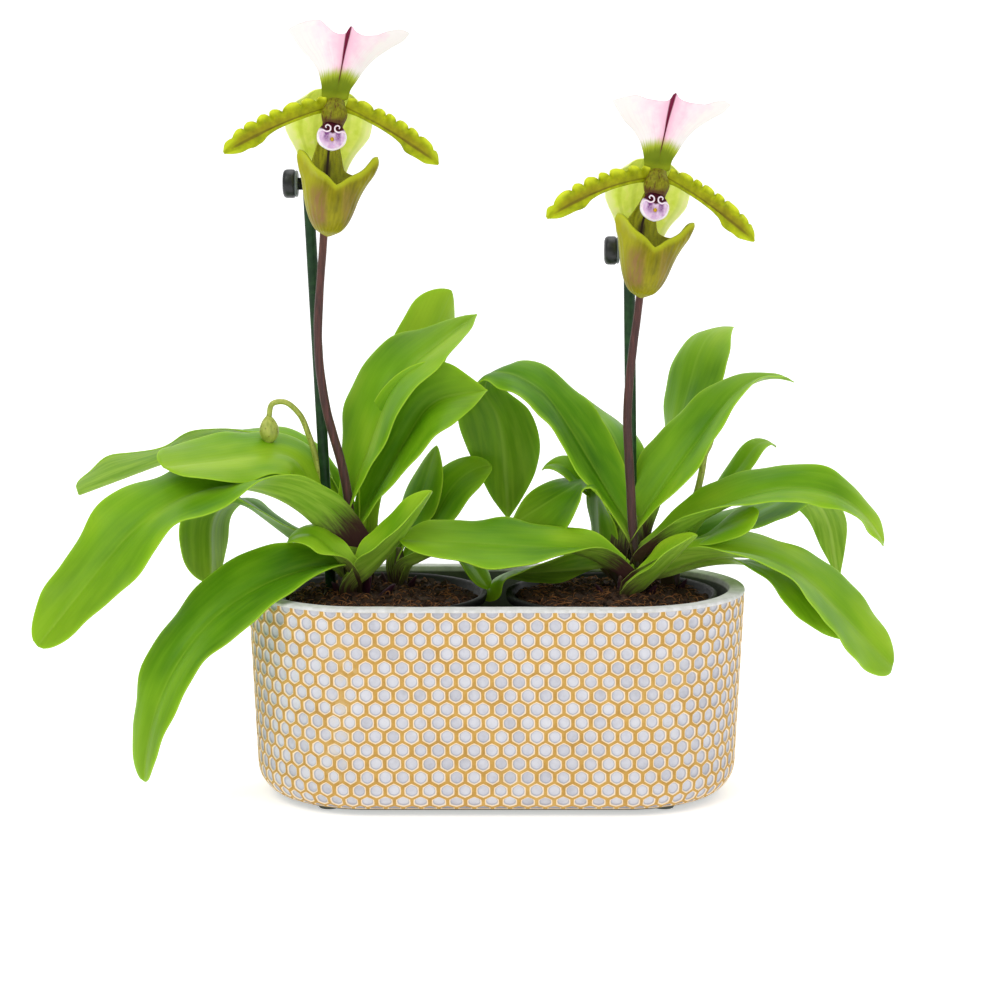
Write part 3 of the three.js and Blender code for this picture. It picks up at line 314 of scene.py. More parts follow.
def circle(x, y, radius, z, around):
    """A level ring of points"""
    angle = full_turn(around)
    return np.stack([x + radius * np.cos(angle), y + radius * np.sin(angle), np.full(around, z)], -1)


def turned(profile, around, x, y):
    """A closed solid of (radius, height) rings round an upright line"""
    return tube(np.array([circle(x, y, r, z, around) for r, z in profile]))


def thin_sheet(middle, thickness):
    """A closed blade with the given middle surface, a grid of points, and its thickness at each"""
    rows, columns = middle.shape[:2]
    along = np.gradient(middle, axis=0)
    across = np.gradient(middle, axis=1)
    normal = unit(np.cross(along, across))
    half = np.broadcast_to(thickness, (rows, columns))[..., None] / 2
    top, bottom = middle + normal * half, middle - normal * half
    points = np.vstack([top.reshape(-1, 3), bottom.reshape(-1, 3)])
    n = rows * columns
    faces = grid_faces(rows, columns)
    faces += [f[::-1] for f in grid_faces(rows, columns, start=n)]
    border = [i * columns for i in range(rows)]
    border += [(rows - 1) * columns + j for j in range(1, columns)]
    border += [i * columns + columns - 1 for i in range(rows - 2, -1, -1)]
    border += [j for j in range(columns - 2, 0, -1)]
    for a, b in zip(border, border[1:] + border[:1]):
        faces.append([b, a, a + n, b + n])
    return points, outward(points, faces)


# Materials

def linear(hex_colour):
    """A colour written in hex as linear red, green, blue and alpha"""
    value = [int(hex_colour[i:i + 2], 16) / 255 for i in (0, 2, 4)]
    return tuple(c / 12.92 if c <= 0.04045 else ((c + 0.055) / 1.055) ** 2.4 for c in value) + (1.0,)


class Look:
    """A node material that is put together a few nodes at a time"""

    def __init__(self, name, roughness=0.5, **sockets):
        self.material = bpy.data.materials.new(name)
        self.material.use_nodes = True
        self.tree = self.material.node_tree
        self.tree.nodes.clear()
        out = self.tree.nodes.new("ShaderNodeOutputMaterial")
        self.shader = self.tree.nodes.new("ShaderNodeBsdfPrincipled")
        self.tree.links.new(self.shader.outputs[0], out.inputs[0])
        self.shader.inputs["Roughness"].default_value = roughness
        for key, value in sockets.items():
            self.shader.inputs[key.replace("_", " ")].default_value = value

    def node(self, kind, **settings):
        made = self.tree.nodes.new(kind)
        for key, value in settings.items():
            setattr(made, key, value)
        return made

    def put(self, socket, value):
        """Link or set an input: the value is an output, a colour in hex or a number"""
        if isinstance(value, bpy.types.NodeSocket):
            self.tree.links.new(value, socket)
        elif isinstance(value, str):
            socket.default_value = linear(value)
        else:
            socket.default_value = value

    def attribute(self, name):
        return self.node("ShaderNodeAttribute", attribute_name=name).outputs

    def value(self, name):
        return self.attribute(name)["Fac"]

    def split(self, name):
        made = self.node("ShaderNodeSeparateXYZ")
        self.put(made.inputs[0], self.attribute(name)["Vector"])
        return made.outputs

    def place(self):
        return self.node("ShaderNodeTexCoord").outputs["Object"]

    def scaled(self, vector, x, y, z):
        made = self.node("ShaderNodeVectorMath", operation="MULTIPLY")
        self.put(made.inputs[0], vector)
        made.inputs[1].default_value = (x, y, z)
        return made.outputs[0]

    def noise(self, vector, scale, detail=3.0, rough=0.5):
        made = self.node("ShaderNodeTexNoise")
        self.put(made.inputs["Vector"], vector)
        made.inputs["Scale"].default_value = scale
        made.inputs["Detail"].default_value = detail
        made.inputs["Roughness"].default_value = rough
        return made.outputs["Fac"]

    def cells(self, vector, scale):
        made = self.node("ShaderNodeTexVoronoi")
        self.put(made.inputs["Vector"], vector)
        made.inputs["Scale"].default_value = scale
        return made.outputs["Distance"]

    def math(self, operation, a, b=0.0, clamp=False):
        made = self.node("ShaderNodeMath", operation=operation, use_clamp=clamp)
        self.put(made.inputs[0], a)
        self.put(made.inputs[1], b)
        return made.outputs[0]

    def plus(self, a, b):
        return self.math("ADD", a, b)

    def minus(self, a, b):
        return self.math("SUBTRACT", a, b)

    def times(self, a, b):
        return self.math("MULTIPLY", a, b)

    def both(self, a, b):
        """The product of two shares, kept between 0 and 1"""
        return self.math("MULTIPLY", a, b, True)

    def size(self, a):
        return self.math("ABSOLUTE", a)

    def strayed(self, value, noise, amount):
        """The value moved up and down by a noise"""
        return self.plus(value, self.times(self.minus(noise, 0.5), amount))

    def joined(self, a, b, scale_a, scale_b):
        made = self.node("ShaderNodeCombineXYZ")
        self.put(made.inputs[0], self.times(a, scale_a))
        self.put(made.inputs[1], self.times(b, scale_b))
        return made.outputs[0]

    def band(self, value, low, high, start=0.0, end=1.0):
        """Softly from start to end while the value goes from low to high, which may fall"""
        made = self.node("ShaderNodeMapRange", interpolation_type="SMOOTHSTEP")
        self.put(made.inputs["Value"], value)
        for key, x in zip(("From Min", "From Max", "To Min", "To Max"), (low, high, start, end)):
            made.inputs[key].default_value = x
        return made.outputs["Result"]

    def mix(self, factor, a, b):
        made = self.node("ShaderNodeMix", data_type="RGBA", clamp_factor=True)
        self.put(made.inputs[0], factor)
        self.put(made.inputs[6], a)
        self.put(made.inputs[7], b)
        return made.outputs[2]

    def over(self, under, colour, value, low, high, start=0.0, end=1.0):
        """The colour laid over another where the value is in a band"""
        return self.mix(self.band(value, low, high, start, end), under, colour)

    def ramp(self, factor, *stops):
        made = self.node("ShaderNodeValToRGB")
        self.put(made.inputs[0], factor)
        ramp = made.color_ramp
        ramp.elements[0].position, ramp.elements[0].color = stops[0][0], linear(stops[0][1])
        ramp.elements[1].position, ramp.elements[1].color = stops[-1][0], linear(stops[-1][1])
        for position, colour in stops[1:-1]:
            ramp.elements.new(position).color = linear(colour)
        return made.outputs[0]

    def colour(self, value):
        self.put(self.shader.inputs["Base Color"], value)

    def rough(self, value):
        self.put(self.shader.inputs["Roughness"], value)

    def glow(self, colour, strength):
        self.put(self.shader.inputs["Emission Color"], colour)
        self.shader.inputs["Emission Strength"].default_value = strength

    def fleshy(self, weight, radius, scale=1.5):
        """Light let in a little way, by the given reach of red, green and blue"""
        self.shader.inputs["Subsurface Weight"].default_value = weight
        self.shader.inputs["Subsurface Radius"].default_value = radius
        self.shader.inputs["Subsurface Scale"].default_value = scale * MM

    def finish(self, colour, height, distance, strength):
        """The material, with its colour and a relief that only the light sees"""
        self.colour(colour)
        made = self.node("ShaderNodeBump")
        made.inputs["Strength"].default_value = strength
        made.inputs["Distance"].default_value = distance * MM
        self.put(made.inputs["Height"], height)
        self.put(self.shader.inputs["Normal"], made.outputs[0])
        return self.material


# Leaves

CROWNS = {
    "crown_left_main": dict(foot=[-60.5, 2], head=[-64.5, 6.5], top=120, radii=[8, 7.4, 6.4, 5, 2.6]),
    "crown_left_side": dict(foot=[-42, 17], head=[-42, 19], top=102, radii=[5, 4.6, 3.6, 1.8]),
    "crown_right_main": dict(foot=[59, 0], head=[59.5, 6], top=118, radii=[8, 7.4, 6.2, 4.8, 2.6]),
    "crown_right_side": dict(foot=[75, 14], head=[77, 17], top=103, radii=[5, 4.6, 3.6, 1.8]),
}
CROWN_FOOT = 73.5
SHEATH_FOOT = 77.0
SHEATH_RADIUS = 3.0
SHEATH_FOLD = 82.0
TIP_HALF_WIDTH = 0.3
LEAF_LANES = 21
LEAF_BULGE = 0.22
LEAF_EDGE = 0.42


def leaf(start, heading, slope, bend, size, tilt, fold, form, swing=0, wave=(0, 0, 0), tone=0, stain=0):
    """What one leaf is like, with its angles in degrees

    slope, tilt and fold each go from the first value at the foot to the second. bend is where on its way
    the slope changes, and over what share of it. size is length and width. form is where the leaf is widest,
    the share of that width at its foot, and how blunt the tip is. swing turns the heading along with the
    bend. wave is the height, count and start of the waves in its edges.
    """
    return dict(start=start, heading=heading, slope=slope, bend=bend, size=size, tilt=tilt, fold=fold,
                form=form, swing=swing, wave=wave, tone=tone, stain=stain)


# A leaf's tone value is partly its own tone and partly painted light and shade: below 0 for leaves that lie
# in shadow, above 0 for lit ones.
LEAVES = {
    "leaf_left_1": leaf(
        (-66, -1, 102.5), 208, (60, -49), (0.35, 0.87), (167, 46), (2, -41), (73, 21), (0.35, 0.64, 0.45),
        swing=-6, wave=(2.5, 3.5, 0), stain=1),
    "leaf_left_4": leaf(
        (-61, -5, 99), 213, (8, -93), (0.52, 1.4), (142, 38), (-30, -14), (42, 21), (0.31, 0.4, 0.45),
        swing=-10, wave=(1, 3, 1), tone=-0.15, stain=0.3),
    "leaf_left_5": leaf(
        (-68, 1, 95.5), 154, (30, -91), (0.63, 0.4), (101, 36), (20, 10), (56, 21), (0.8, 0.41, 0.65),
        swing=5, tone=-0.3),
    "leaf_left_3": leaf(
        (-67.5, 5.5, 106.5), 186, (66, -2), (0.41, 0.25), (103, 41), (-38, -16), (17, 14), (0.8, 0.57, 0.45),
        swing=30, wave=(1.2, 3, 2), tone=0.25, stain=0.3),
    "leaf_left_2": leaf(
        (-62.5, 13.2, 111.5), 145, (70, -20), (0.31, 0.67), (143, 43), (-3, 19), (48, 29), (0.8, 0.21, 0.35),
        swing=43, wave=(1.5, 3.5, 0), tone=0.2, stain=0.4),
    "leaf_left_8": leaf(
        (-65, 4, 117.5), 26, (68, 30), (0.55, 0.3), (113, 46), (7, 14), (20, 27), (0.45, 0.25, 0.95),
        swing=12, wave=(0.8, 3, 0), tone=0.05, stain=0.4),
    "leaf_left_10": leaf(
        (-60.3, 6.3, 112), 4, (60, 5), (0.72, 0.3), (89, 47), (27, 56), (18, 35), (0.57, 0.25, 1.1),
        swing=18, tone=-0.15, stain=0.2),
    "leaf_left_9": leaf(
        (-56, 11, 111.5), 82, (86, 50), (0.13, 0.59), (121, 31), (28, 84), (50, 0), (0.8, 0.4, 0.73),
        swing=-26, tone=0.45),
    "leaf_left_6": leaf(
        (-63, -14, 100), 179, (47, -42), (0.7, 0.68), (31, 24.5), (-20, -12), (57, 13), (0.51, 0.45, 0.79),
        swing=-4, tone=0.25, stain=0.2),
    "leaf_left_7": leaf(
        (-58, -12, 92.5), -11, (44, 59), (0.5, 1), (51, 31), (13, 29), (63, 47), (0.3, 0.43, 0.66),
        swing=2, tone=0.35, stain=0.2),
    "leaf_left_11": leaf(
        (-43, 20, 97.5), 41, (61, 69), (0.54, 1), (52, 22), (18, -5), (50, 8), (0.55, 0.42, 0.77),
        tone=-0.1),
    "leaf_left_12": leaf(
        (-38, 18, 93), 24, (60, -11), (0.83, 0.72), (61, 25), (7, 37), (50, 15), (0.55, 0.42, 0.59)),
    "leaf_left_13": leaf(
        (-39, 14, 95.3), -8, (26, -52), (0.49, 0.56), (45, 18), (-18, 17), (50, 16), (0.63, 0.42, 0.56),
        swing=-10),
    "leaf_right_1": leaf(
        (57, 0, 113.7), 158, (54, -98), (0.56, 0.15), (168, 36), (-45, 61), (35, 15), (0.78, 0.48, 0.98),
        tone=-0.3, stain=0.3),
    "leaf_right_2": leaf(
        (58, 2.5, 112.5), 20, (51, -77), (0.95, 0.82), (104, 40), (23, 2), (33, 31), (0.33, 0.39, 1.2),
        swing=10, tone=0.05, stain=0.8),
    "leaf_right_5": leaf(
        (63.5, -2.5, 103), 15, (30.5, -85), (0.75, 1.36), (134, 30.5), (1, 55), (62, 24), (0.3, 0.37, 0.46),
        swing=30, wave=(1, 3, 0), tone=0.15, stain=0.8),
    "leaf_right_6": leaf(
        (60, -7, 90.5), 3, (29, -43), (0.33, 0.72), (145, 46), (-4, 60), (61, 17), (0.53, 0.33, 0.45),
        swing=25, wave=(1, 3, 0), tone=0.2, stain=0.6),
    "leaf_right_12": leaf(
        (53, -6, 93.5), 188, (54, 4), (0.13, 0.54), (98, 38.5), (-17, -27), (76, 16), (0.52, 0.38, 0.61),
        swing=-2, wave=(1, 2.5, 0), stain=0.8),
    "leaf_right_3": leaf(
        (66, 11, 112.5), 60, (57, -10), (0.86, 0.42), (114, 33), (-57, 1), (50, 4), (0.58, 0.42, 0.95),
        swing=-19, tone=0.15, stain=0.3),
    "leaf_right_4": leaf(
        (57, 12, 111.5), 112, (86, 19), (0.37, 0.65), (86, 30), (-16, 19), (50, 0), (0.66, 0.39, 0.76),
        tone=-0.1),
    "leaf_right_7": leaf(
        (68, 9, 99.5), 38, (13, -76), (0.69, 0.34), (144, 29), (21, -21), (50, 7), (0.51, 0.42, 1.2),
        swing=1, tone=-0.1),
    "leaf_right_8": leaf(
        (67, 0, 92), 19, (15, -57), (0.52, 1.02), (103, 31), (-40, 63), (50, 3), (0.56, 0.34, 0.81),
        swing=-12, tone=0.15, stain=0.3),
    "leaf_right_9": leaf(
        (78, 18, 99.5), 33, (46, -46), (0.9, 0.29), (74, 14.5), (-20, 16), (50, 15), (0.6, 0.42, 0.76),
        swing=2, tone=0.1),
    "leaf_right_10": leaf(
        (77, 10, 98.5), -10, (37, 28), (0.42, 0.94), (42, 22), (-4, 36), (52, 9), (0.71, 0.43, 0.69),
        swing=-10, tone=0.1),
    "leaf_right_11": leaf(
        (59, -13, 88.8), -8, (43, 46), (0.5, 1.08), (35, 28), (4, 7.5), (58, 41), (0.53, 0.48, 0.73),
        swing=6, tone=0.35, stain=0.2),
    "leaf_right_13": leaf(
        (46, 8, 101), 168, (86, -33), (0.43, 0.17), (76, 36), (52, -60), (10, 0), (0.59, 0.45, 1.14),
        tone=-0.3),
    "leaf_right_14": leaf(
        (52, 17, 110), 148, (46, -54), (0.84, 0.58), (50, 16), (18, -26), (50, 23), (0.59, 0.42, 0.77),
        swing=-8, tone=-0.2),
    "leaf_right_15": leaf(
        (47, 2, 97), 171, (-5, -64), (0.79, 0.32), (59, 27), (62, -2), (50, 0), (0.8, 0.43, 0.51),
        swing=21, tone=-0.2),
}

# The leaf that rises, folds over sharply and hangs behind itself: the rib and the two edges along it
FOLDED_LEAF = [
    [[57, 0, 113.7], [59.7, 2, 118], [54, -5, 112]],
    [[48.7, 4, 126.4], [56.5, 8, 133], [45.3, -5, 125.2]],
    [[40, 9, 140.7], [50.3, 16, 149.2], [33, -3, 139.4]],
    [[30, 14, 156.4], [42.8, 23, 161], [24, 1, 155.4]],
    [[21.2, 20, 168.2], [31.3, 29, 172], [16, 7, 163.2]],
    [[12.3, 25, 174], [20, 33, 180.2], [7, 14, 169.7]],
    [[4, 30, 176.6], [10.2, 37, 180.7], [0.6, 21, 171]],
    [[-3.7, 36, 175.2], [2.8, 43, 175.8], [-5.8, 27, 174]],
    [[-5.5, 41, 167.2], [3.3, 47, 168.3], [-13.3, 34, 165.3]],
    [[-0.3, 42, 157.4], [14.3, 47, 158.6], [-17, 40, 155.8]],
    [[2.4, 42, 146], [19, 46, 145.4], [-13.4, 42, 143.2]],
    [[3.7, 41, 132.7], [17.4, 44, 132.3], [-7.8, 43, 131]],
    [[4.6, 40, 120.8], [11.6, 42, 120.5], [-2, 42, 120]],
    [[5, 39, 111.2], [5.3, 39, 111.3], [4.7, 39, 111.3]],
]
RIB_STEPS = 160


def leaf_rib(spec, s):
    """Places along the rib, with the direction along it and the two directions across it"""
    bend_at, bend_over = spec["bend"]

    def direction(t):
        bent = smooth((t - (bend_at - bend_over / 2)) / bend_over)
        slope = np.radians(lerp(spec["slope"][0], spec["slope"][1], bent))
        heading = np.radians(spec["heading"] + spec["swing"] * bent)
        level = np.stack([np.cos(heading), np.sin(heading), np.zeros_like(heading)], -1)
        along = level * np.cos(slope)[:, None] + np.sin(slope)[:, None] * [0, 0, 1]
        return along, np.stack([-level[:, 1], level[:, 0], level[:, 2]], -1)

    middle, _ = direction((np.arange(RIB_STEPS) + 0.5) / RIB_STEPS)
    rib = np.vstack([[0, 0, 0], np.cumsum(middle * spec["size"][0] / RIB_STEPS, axis=0)])
    rib = rib + np.array(spec["start"])
    place = np.clip(s, 0, 1) * RIB_STEPS
    k = np.minimum(place.astype(int), RIB_STEPS - 1)
    point = rib[k] + (rib[k + 1] - rib[k]) * (place - k)[:, None]
    along, flat = direction(s)
    up = np.cross(along, flat)
    tilt = np.radians(lerp(spec["tilt"][0], spec["tilt"][1], smooth(s)))[:, None]
    across = flat * np.cos(tilt) + up * np.sin(tilt)
    lift = up * np.cos(tilt) - flat * np.sin(tilt)
    return point, along, across, lift


def crown_of(name, start):
    """The crown on the leaf's side that its foot is nearest to"""
    side = name.split("_")[1]
    best = None
    for crown, spec in CROWNS.items():
        if side not in crown:
            continue
        t = (start[2] - CROWN_FOOT) / (spec["top"] - CROWN_FOOT)
        axis = lerp(np.array(spec["foot"], float), np.array(spec["head"], float), min(max(t, 0), 1))
        distance = np.hypot(*(np.array(start[:2]) - axis)) + (4 if "side" in crown else 0)
        if best is None or distance < best[0]:
            best = (distance, spec)
    return best[1]


def sheath(name, spec, along, across):
    """The rib of the sheath, up from inside the crown to the foot of the blade

    It gives the share of the way, the length, the rib's points, and directions to its side and above it.
    """
    start, heading = np.array(spec["start"], float), math.radians(spec["heading"])
    out = np.array([math.cos(heading), math.sin(heading), 0])
    low = np.array([*crown_of(name, spec["start"])["foot"], SHEATH_FOOT]) + out * SHEATH_RADIUS
    low[2] = min(low[2], start[2] - 6)
    reach = np.linalg.norm(start - low)
    q = np.linspace(0, 1, max(6, int(reach / 1.6)), endpoint=False)
    cubic = (q[:, None], low, np.array([0.0, 0.0, 1.0]) * reach * 1.1, start, along * reach * 0.9)
    tangent = hermite_direction(*cubic)
    side = unit(across - tangent * (tangent @ across)[:, None])
    return q, reach, hermite(*cubic), side, np.cross(tangent, side)


def make_leaf(name, spec, material, seed):
    """A blade with its sheath: a rib, vectors from it to the two edges, and the waves between them"""
    length, width = spec["size"]
    widest, foot, blunt = spec["form"]
    wave_height, wave_count, wave_start = spec["wave"]
    folded = name == "leaf_right_1"
    s = 1 - (1 - np.linspace(0, 1, max(34, int(length / 1.8)) + 1)) ** 1.2
    if folded:
        point, right, left = (through([station[k] for station in FOLDED_LEAF], s) for k in range(3))
        along, across = unit(np.gradient(point, axis=0)), unit(left - right)
        lift = unit(np.cross(along, across))
        run_length = np.concatenate([[0], np.cumsum(np.linalg.norm(np.diff(point, axis=0), axis=1))])
    else:
        point, along, across, lift = leaf_rib(spec, s)
        run_length = s * length
    q, reach, low_rib, side, above = sheath(name, spec, along[0], across[0])
    # Half width and fold at each station
    beyond = np.clip((s - widest) / (1 - widest), 0, 1)
    grown = foot + (1 - foot) * smooth(s / widest)
    half = np.maximum((width / 2) * grown * (1 - beyond**2.2) ** blunt, TIP_HALF_WIDTH)
    fold = np.radians(lerp(spec["fold"][0], spec["fold"][1], smooth(s / 0.45)))
    half_in = lerp(min(6.5, half[0] * 1.1), half[0], smooth(q))
    fold_in = np.radians(lerp(SHEATH_FOLD, spec["fold"][0], smooth(q)))
    dip = LEAF_BULGE * smooth(s / 0.4)
    edges = []
    for sign in (-1, 1):
        low = side * (sign * half_in * np.cos(fold_in))[:, None]
        low = low + above * (half_in * np.sin(fold_in))[:, None]
        out = across * (sign * half * np.cos(fold))[:, None] + lift * (half * (np.sin(fold) - dip))[:, None]
        if folded:
            out = (left if sign > 0 else right) - point
            low = lerp(low, out[0], smooth(q)[:, None])
        edges.append(np.vstack([low, out]))
    if folded:
        half = np.linalg.norm(edges[1][len(q):], axis=1)
    rib, lift = np.vstack([low_rib, point])[:, None, :], np.vstack([above, lift])[:, None, :]
    distance = np.concatenate([(q - 1) * reach, run_length])[:, None]
    half = np.concatenate([half_in, half])[:, None]
    spread = np.sin(np.linspace(-1, 1, LEAF_LANES) * np.pi / 2 * 0.92) / math.sin(np.pi / 2 * 0.92)
    lane, part = np.meshgrid(spread, np.concatenate([np.zeros(len(q)), s]))
    away, from_rib = np.abs(lane), lane * half
    phase = 2 * np.pi * wave_count * part + wave_start + np.where(lane > 0, 1.3, 0)
    wave = wave_height * np.sin(phase) * away**2 * smooth(part / 0.3) * smooth((1 - part) / 0.15)
    ripple = 0.45 * np.sin(distance / 5.2 + seed + np.where(lane > 0, 2.1, 0))
    ripple = ripple + 0.3 * np.sin(distance / 2.9 + 2.0 * seed)
    wave = wave + ripple * away**4 * smooth(part / 0.2) * smooth((1 - part) / 0.1) * min(1, width / 36)
    groove = -0.9 * np.exp(-((from_rib / 1.5) ** 2)) * smooth(part / 0.1) * (1 - 0.75 * part)
    # Shallow pleats beside the rib
    pleat = 0.22 * np.cos(from_rib * 1.05) * (1 - away) * smooth(part / 0.15) * smooth((1 - part) / 0.25)
    rise = half * LEAF_BULGE * away * (1 - away) * smooth(part / 0.4) + wave + groove + pleat
    beside = np.where(lane[..., None] > 0, edges[1][:, None, :], edges[0][:, None, :])
    middle = rib + beside * away[..., None] + lift * rise[..., None]
    edge = np.clip((1 - away) * half / 2.2, 0, 1)
    thick = lerp(LEAF_EDGE, lerp(1.5, 0.8, part**2), smooth(edge) * (0.35 + 0.65 * (1 - away)))
    thick = np.minimum(thick, LEAF_EDGE + 1.3 * half)
    # Keel under the rib
    middle = middle - lift * (0.3 * np.exp(-((from_rib / 1.2) ** 2)) * (1 - part))[..., None]
    points, faces = thin_sheet(middle, thick)

    def on_both(value):
        return np.tile(np.broadcast_to(value, lane.shape).ravel(), 2)

    underside = np.repeat([0.0, 1.0], len(points) // 2)
    blade = np.stack([on_both(np.clip(distance / length, -1, 1)), on_both(lane), underside], -1)
    run = np.stack([on_both(distance), on_both(from_rib), np.full(len(points), seed * 37.0)], -1)
    shape = Shape()
    shape.add(points, faces, blade=blade, run=run, margin=on_both((1 - away) * half),
              tone=spec["tone"], stain=spec["stain"])
    shape.build(name + "_blade", material, [name])


def leaf_material():
    look = Look("leaf", roughness=0.46, Specular_IOR_Level=0.14)
    along, _, under = look.split("blade")
    run = look.attribute("run")["Vector"]
    millimetres, lateral, _ = look.split("run")
    margin = look.value("margin")
    tone = look.value("tone")
    stain = look.value("stain")
    broad = look.noise(look.scaled(run, 0.022, 0.05, 1), 1.0, 2.0, 0.5)
    fine = look.noise(look.scaled(run, 0.05, 0.5, 1), 1.0, 3.0, 0.55)
    veins = look.math("SINE", look.times(lateral, 3.4))
    # The tone value lightens or darkens the whole blade: partly the leaf's own tone, partly painted shade on
    # leaves in shadow and painted light on lit ones.
    body = look.ramp(look.plus(broad, look.times(tone, 0.6)),
                     (0.15, "3a6a04"), (0.38, "528608"), (0.58, "6d9f10"), (0.85, "9abf28"))
    body = look.over(body, "84ae22", fine, 0.35, 0.75, 0.0, 0.25)
    body = look.over(body, "3c720a", veins, 0.3, 1.0, 0.0, 0.06)
    # Yellower towards the tip and the margins, pale on the rib. The bright margins are partly painted light,
    # standing in for light shining through the thin edges.
    body = look.over(body, "96b81e", along, 0.55, 1.05, 0.0, 0.4)
    away = look.size(lateral)
    body = look.over(body, "93b83c", away, 0.9, 0.15, 0.0, 0.22)
    body = look.over(body, "8fbe1e", margin, 3.6, 0.2, 0.0, 0.4)
    body = look.over(body, "b0d43a", margin, 0.8, 0.15, 0.0, 0.5)
    lower = look.mix(look.band(fine, 0.3, 0.7), "6f9a26", "92b63e")
    lower = look.over(lower, "b3cd62", away, 1.2, 0.2, 0.0, 0.5)
    # Paler underside, held back on leaves that the tone value darkens, so that their painted shade stays
    # deep.
    pale = look.times(under, look.band(tone, -0.28, -0.05, 0.25, 0.9))
    body = look.mix(pale, body, lower)
    # Pale towards the foot of the blade, then maroon where it clasps the crown
    body = look.over(body, "93ac3e", millimetres, 14.0, -8.0, 0.0, 0.4)
    streak = look.noise(look.scaled(run, 0.14, 1.5, 1), 1.0, 4.0, 0.7)
    shift = look.times(look.minus(streak, 0.5), 22.0)
    edge = look.plus(millimetres, shift)
    upper_low = look.band(edge, 3.0, -9.0, 0.0, 0.95)
    under_low = look.band(look.minus(edge, look.times(stain, 15.0)), 7.0, -9.0, 0.0, 0.95)
    low = look.math("MAXIMUM", upper_low, look.times(under, under_low))
    maroon = look.mix(look.band(millimetres, 4.0, -18.0), "3d0c26", "1a0609")
    body = look.mix(low, body, maroon)
    # Painted light: a faint glow in the leaf's own colour stands in for light shining through the blades and
    # lifts their shaded parts.
    look.glow(body, 0.07)
    look.rough(look.band(fine, 0.2, 0.8, 0.38, 0.5))
    look.fleshy(0.12, (0.5, 1.0, 0.1), 1.6)
    return look.finish(body, look.plus(look.times(veins, 0.05), look.times(fine, 0.6)), 0.35, 0.4)


LEAF = leaf_material()
for number, (name, spec) in enumerate(LEAVES.items()):
    make_leaf(name, spec, LEAF, number * 1.7 + 0.4)


# Crowns: a core with a few short scales round it

def sheath_material():
    look = Look("sheath", roughness=0.5)
    place = look.place()
    tall = look.value("height")
    streak = look.noise(look.scaled(place, 900, 900, 90), 1.0, 4.0, 0.65)
    edge = look.strayed(tall, streak, 26.0)
    body = look.mix(look.band(edge, 92.0, 112.0), "3d1026", "6f7f2c")
    body = look.over(body, "180a0b", tall, 92.0, 84.0, 0.0, 0.8)
    body = look.over(body, "6b2a3c", streak, 0.55, 0.75, 0.0, 0.35)
    return look.finish(body, streak, 0.5, 0.6)


SHEATH = sheath_material()


def scale_leaf(shape, base, heading, length, width, slope, fold, curl):
    """A short pointed scale that stands up from the crown"""
    rows, lanes = 16, 9
    t = np.linspace(0, 1, rows)
    angle = np.radians(slope + curl * t)
    h = math.radians(heading)
    out = np.array([math.cos(h), math.sin(h), 0])
    along = np.cos(angle)[:, None] * out + np.sin(angle)[:, None] * np.array([0, 0, 1.0])
    run = np.cumsum(along[:-1] * length / (rows - 1), axis=0)
    path = np.array(base, float) + np.vstack([[0, 0, 0], run])
    side = np.array([-math.sin(h), math.cos(h), 0])
    lift = np.cross(along, side)
    u = np.linspace(-1, 1, lanes)
    half = np.maximum(width / 2 * (0.75 + 0.25 * smooth(t / 0.3)) * (1 - t**2.2) ** 0.7, 0.25)
    f = math.radians(fold)
    grid = path[:, None, :] + (half[:, None] * u)[..., None] * side * math.cos(f)
    grid = grid + (half[:, None] * np.abs(u) * math.sin(f))[..., None] * lift[:, None, :]
    points, faces = thin_sheet(grid, 0.7)
    shape.add(points, faces, height=points[:, 2:3])


SCALES = {
    "crown_left_main": [(-56, -4, 79, -60, 17, 10, 62, 55), (-65, -3, 78, -140, 15, 10, 60, 50),
                        (-60, 8, 78, 90, 16, 10, 65, 50), (-51, -6, 79, -20, 15, 9, 48, 50)],
    "crown_left_side": [(-39, 14, 79, -30, 13, 7, 60, 50), (-46, 18, 79, 170, 13, 7, 66, 50)],
    "crown_right_main": [(54, -5, 79, -110, 17, 9, 64, 50), (63, -4, 78, -40, 14, 9, 58, 50),
                         (60, 7, 78, 80, 16, 9, 66, 50), (48, -4, 79, 190, 13, 8, 55, 40)],
    "crown_right_side": [(78, 12, 79, -40, 12, 7, 60, 50), (71, 16, 79, 150, 12, 7, 66, 50)],
}
for name, spec in CROWNS.items():
    shape = Shape()
    route = [[*spec["foot"], CROWN_FOOT], [*spec["head"], spec["top"]]]
    thinner = [r * 0.82 for r in spec["radii"]]
    points, faces = rod(route, thinner, 20, 24, lambda p: 0.5 * hash_noise(p * [1, 1, 0.3], 2.6, 3))
    shape.add(points, faces, height=points[:, 2:3])
    for x, y, z, heading, length, width, slope, fold in SCALES[name]:
        scale_leaf(shape, (x, y, z), heading, length, width, slope, fold, 14)
    shape.build(name + "_sheaths", SHEATH, [name])


# Planter

LENGTH, DEPTH, HEIGHT = 211.0, 105.0, 89.0
FOOT_HEIGHT, SIDE_TAPER, ROUNDING = 1.2, 3.2, 13.0
NET_TOP = HEIGHT - 1.4
END_RADIUS = DEPTH / 2
STRAIGHT = LENGTH - DEPTH
AROUND = 2 * STRAIGHT + 2 * np.pi * END_RADIUS
SIDE_RUN = math.hypot(NET_TOP - FOOT_HEIGHT - ROUNDING, SIDE_TAPER)
CELLS = 74
ROWS = 15
ROW_PITCH = 5.8
CELL_PITCH = AROUND / CELLS
CELL_DEPTH = 1.05
FLOOR_DEPTH = 1.12
CELL_SIDES = 12
# Share of the cell, share of its depth, colour from gold (0) over cream, partly a painted highlight on the
# lit walls, to plaster (1)
CELL_CONTOURS = [
    (1.0, 0.0, 0.0), (0.875, 0.03, 0.0), (0.825, 0.12, 0.32), (0.765, 0.25, 0.48), (0.69, 0.6, 0.7),
    (0.6, 0.98, 1.0), (0.3, 1.06, 1.05),
]
CEMENT_BODY = dict(cell=1.0, shade=0.5, flaw=0.0, part=1.0)


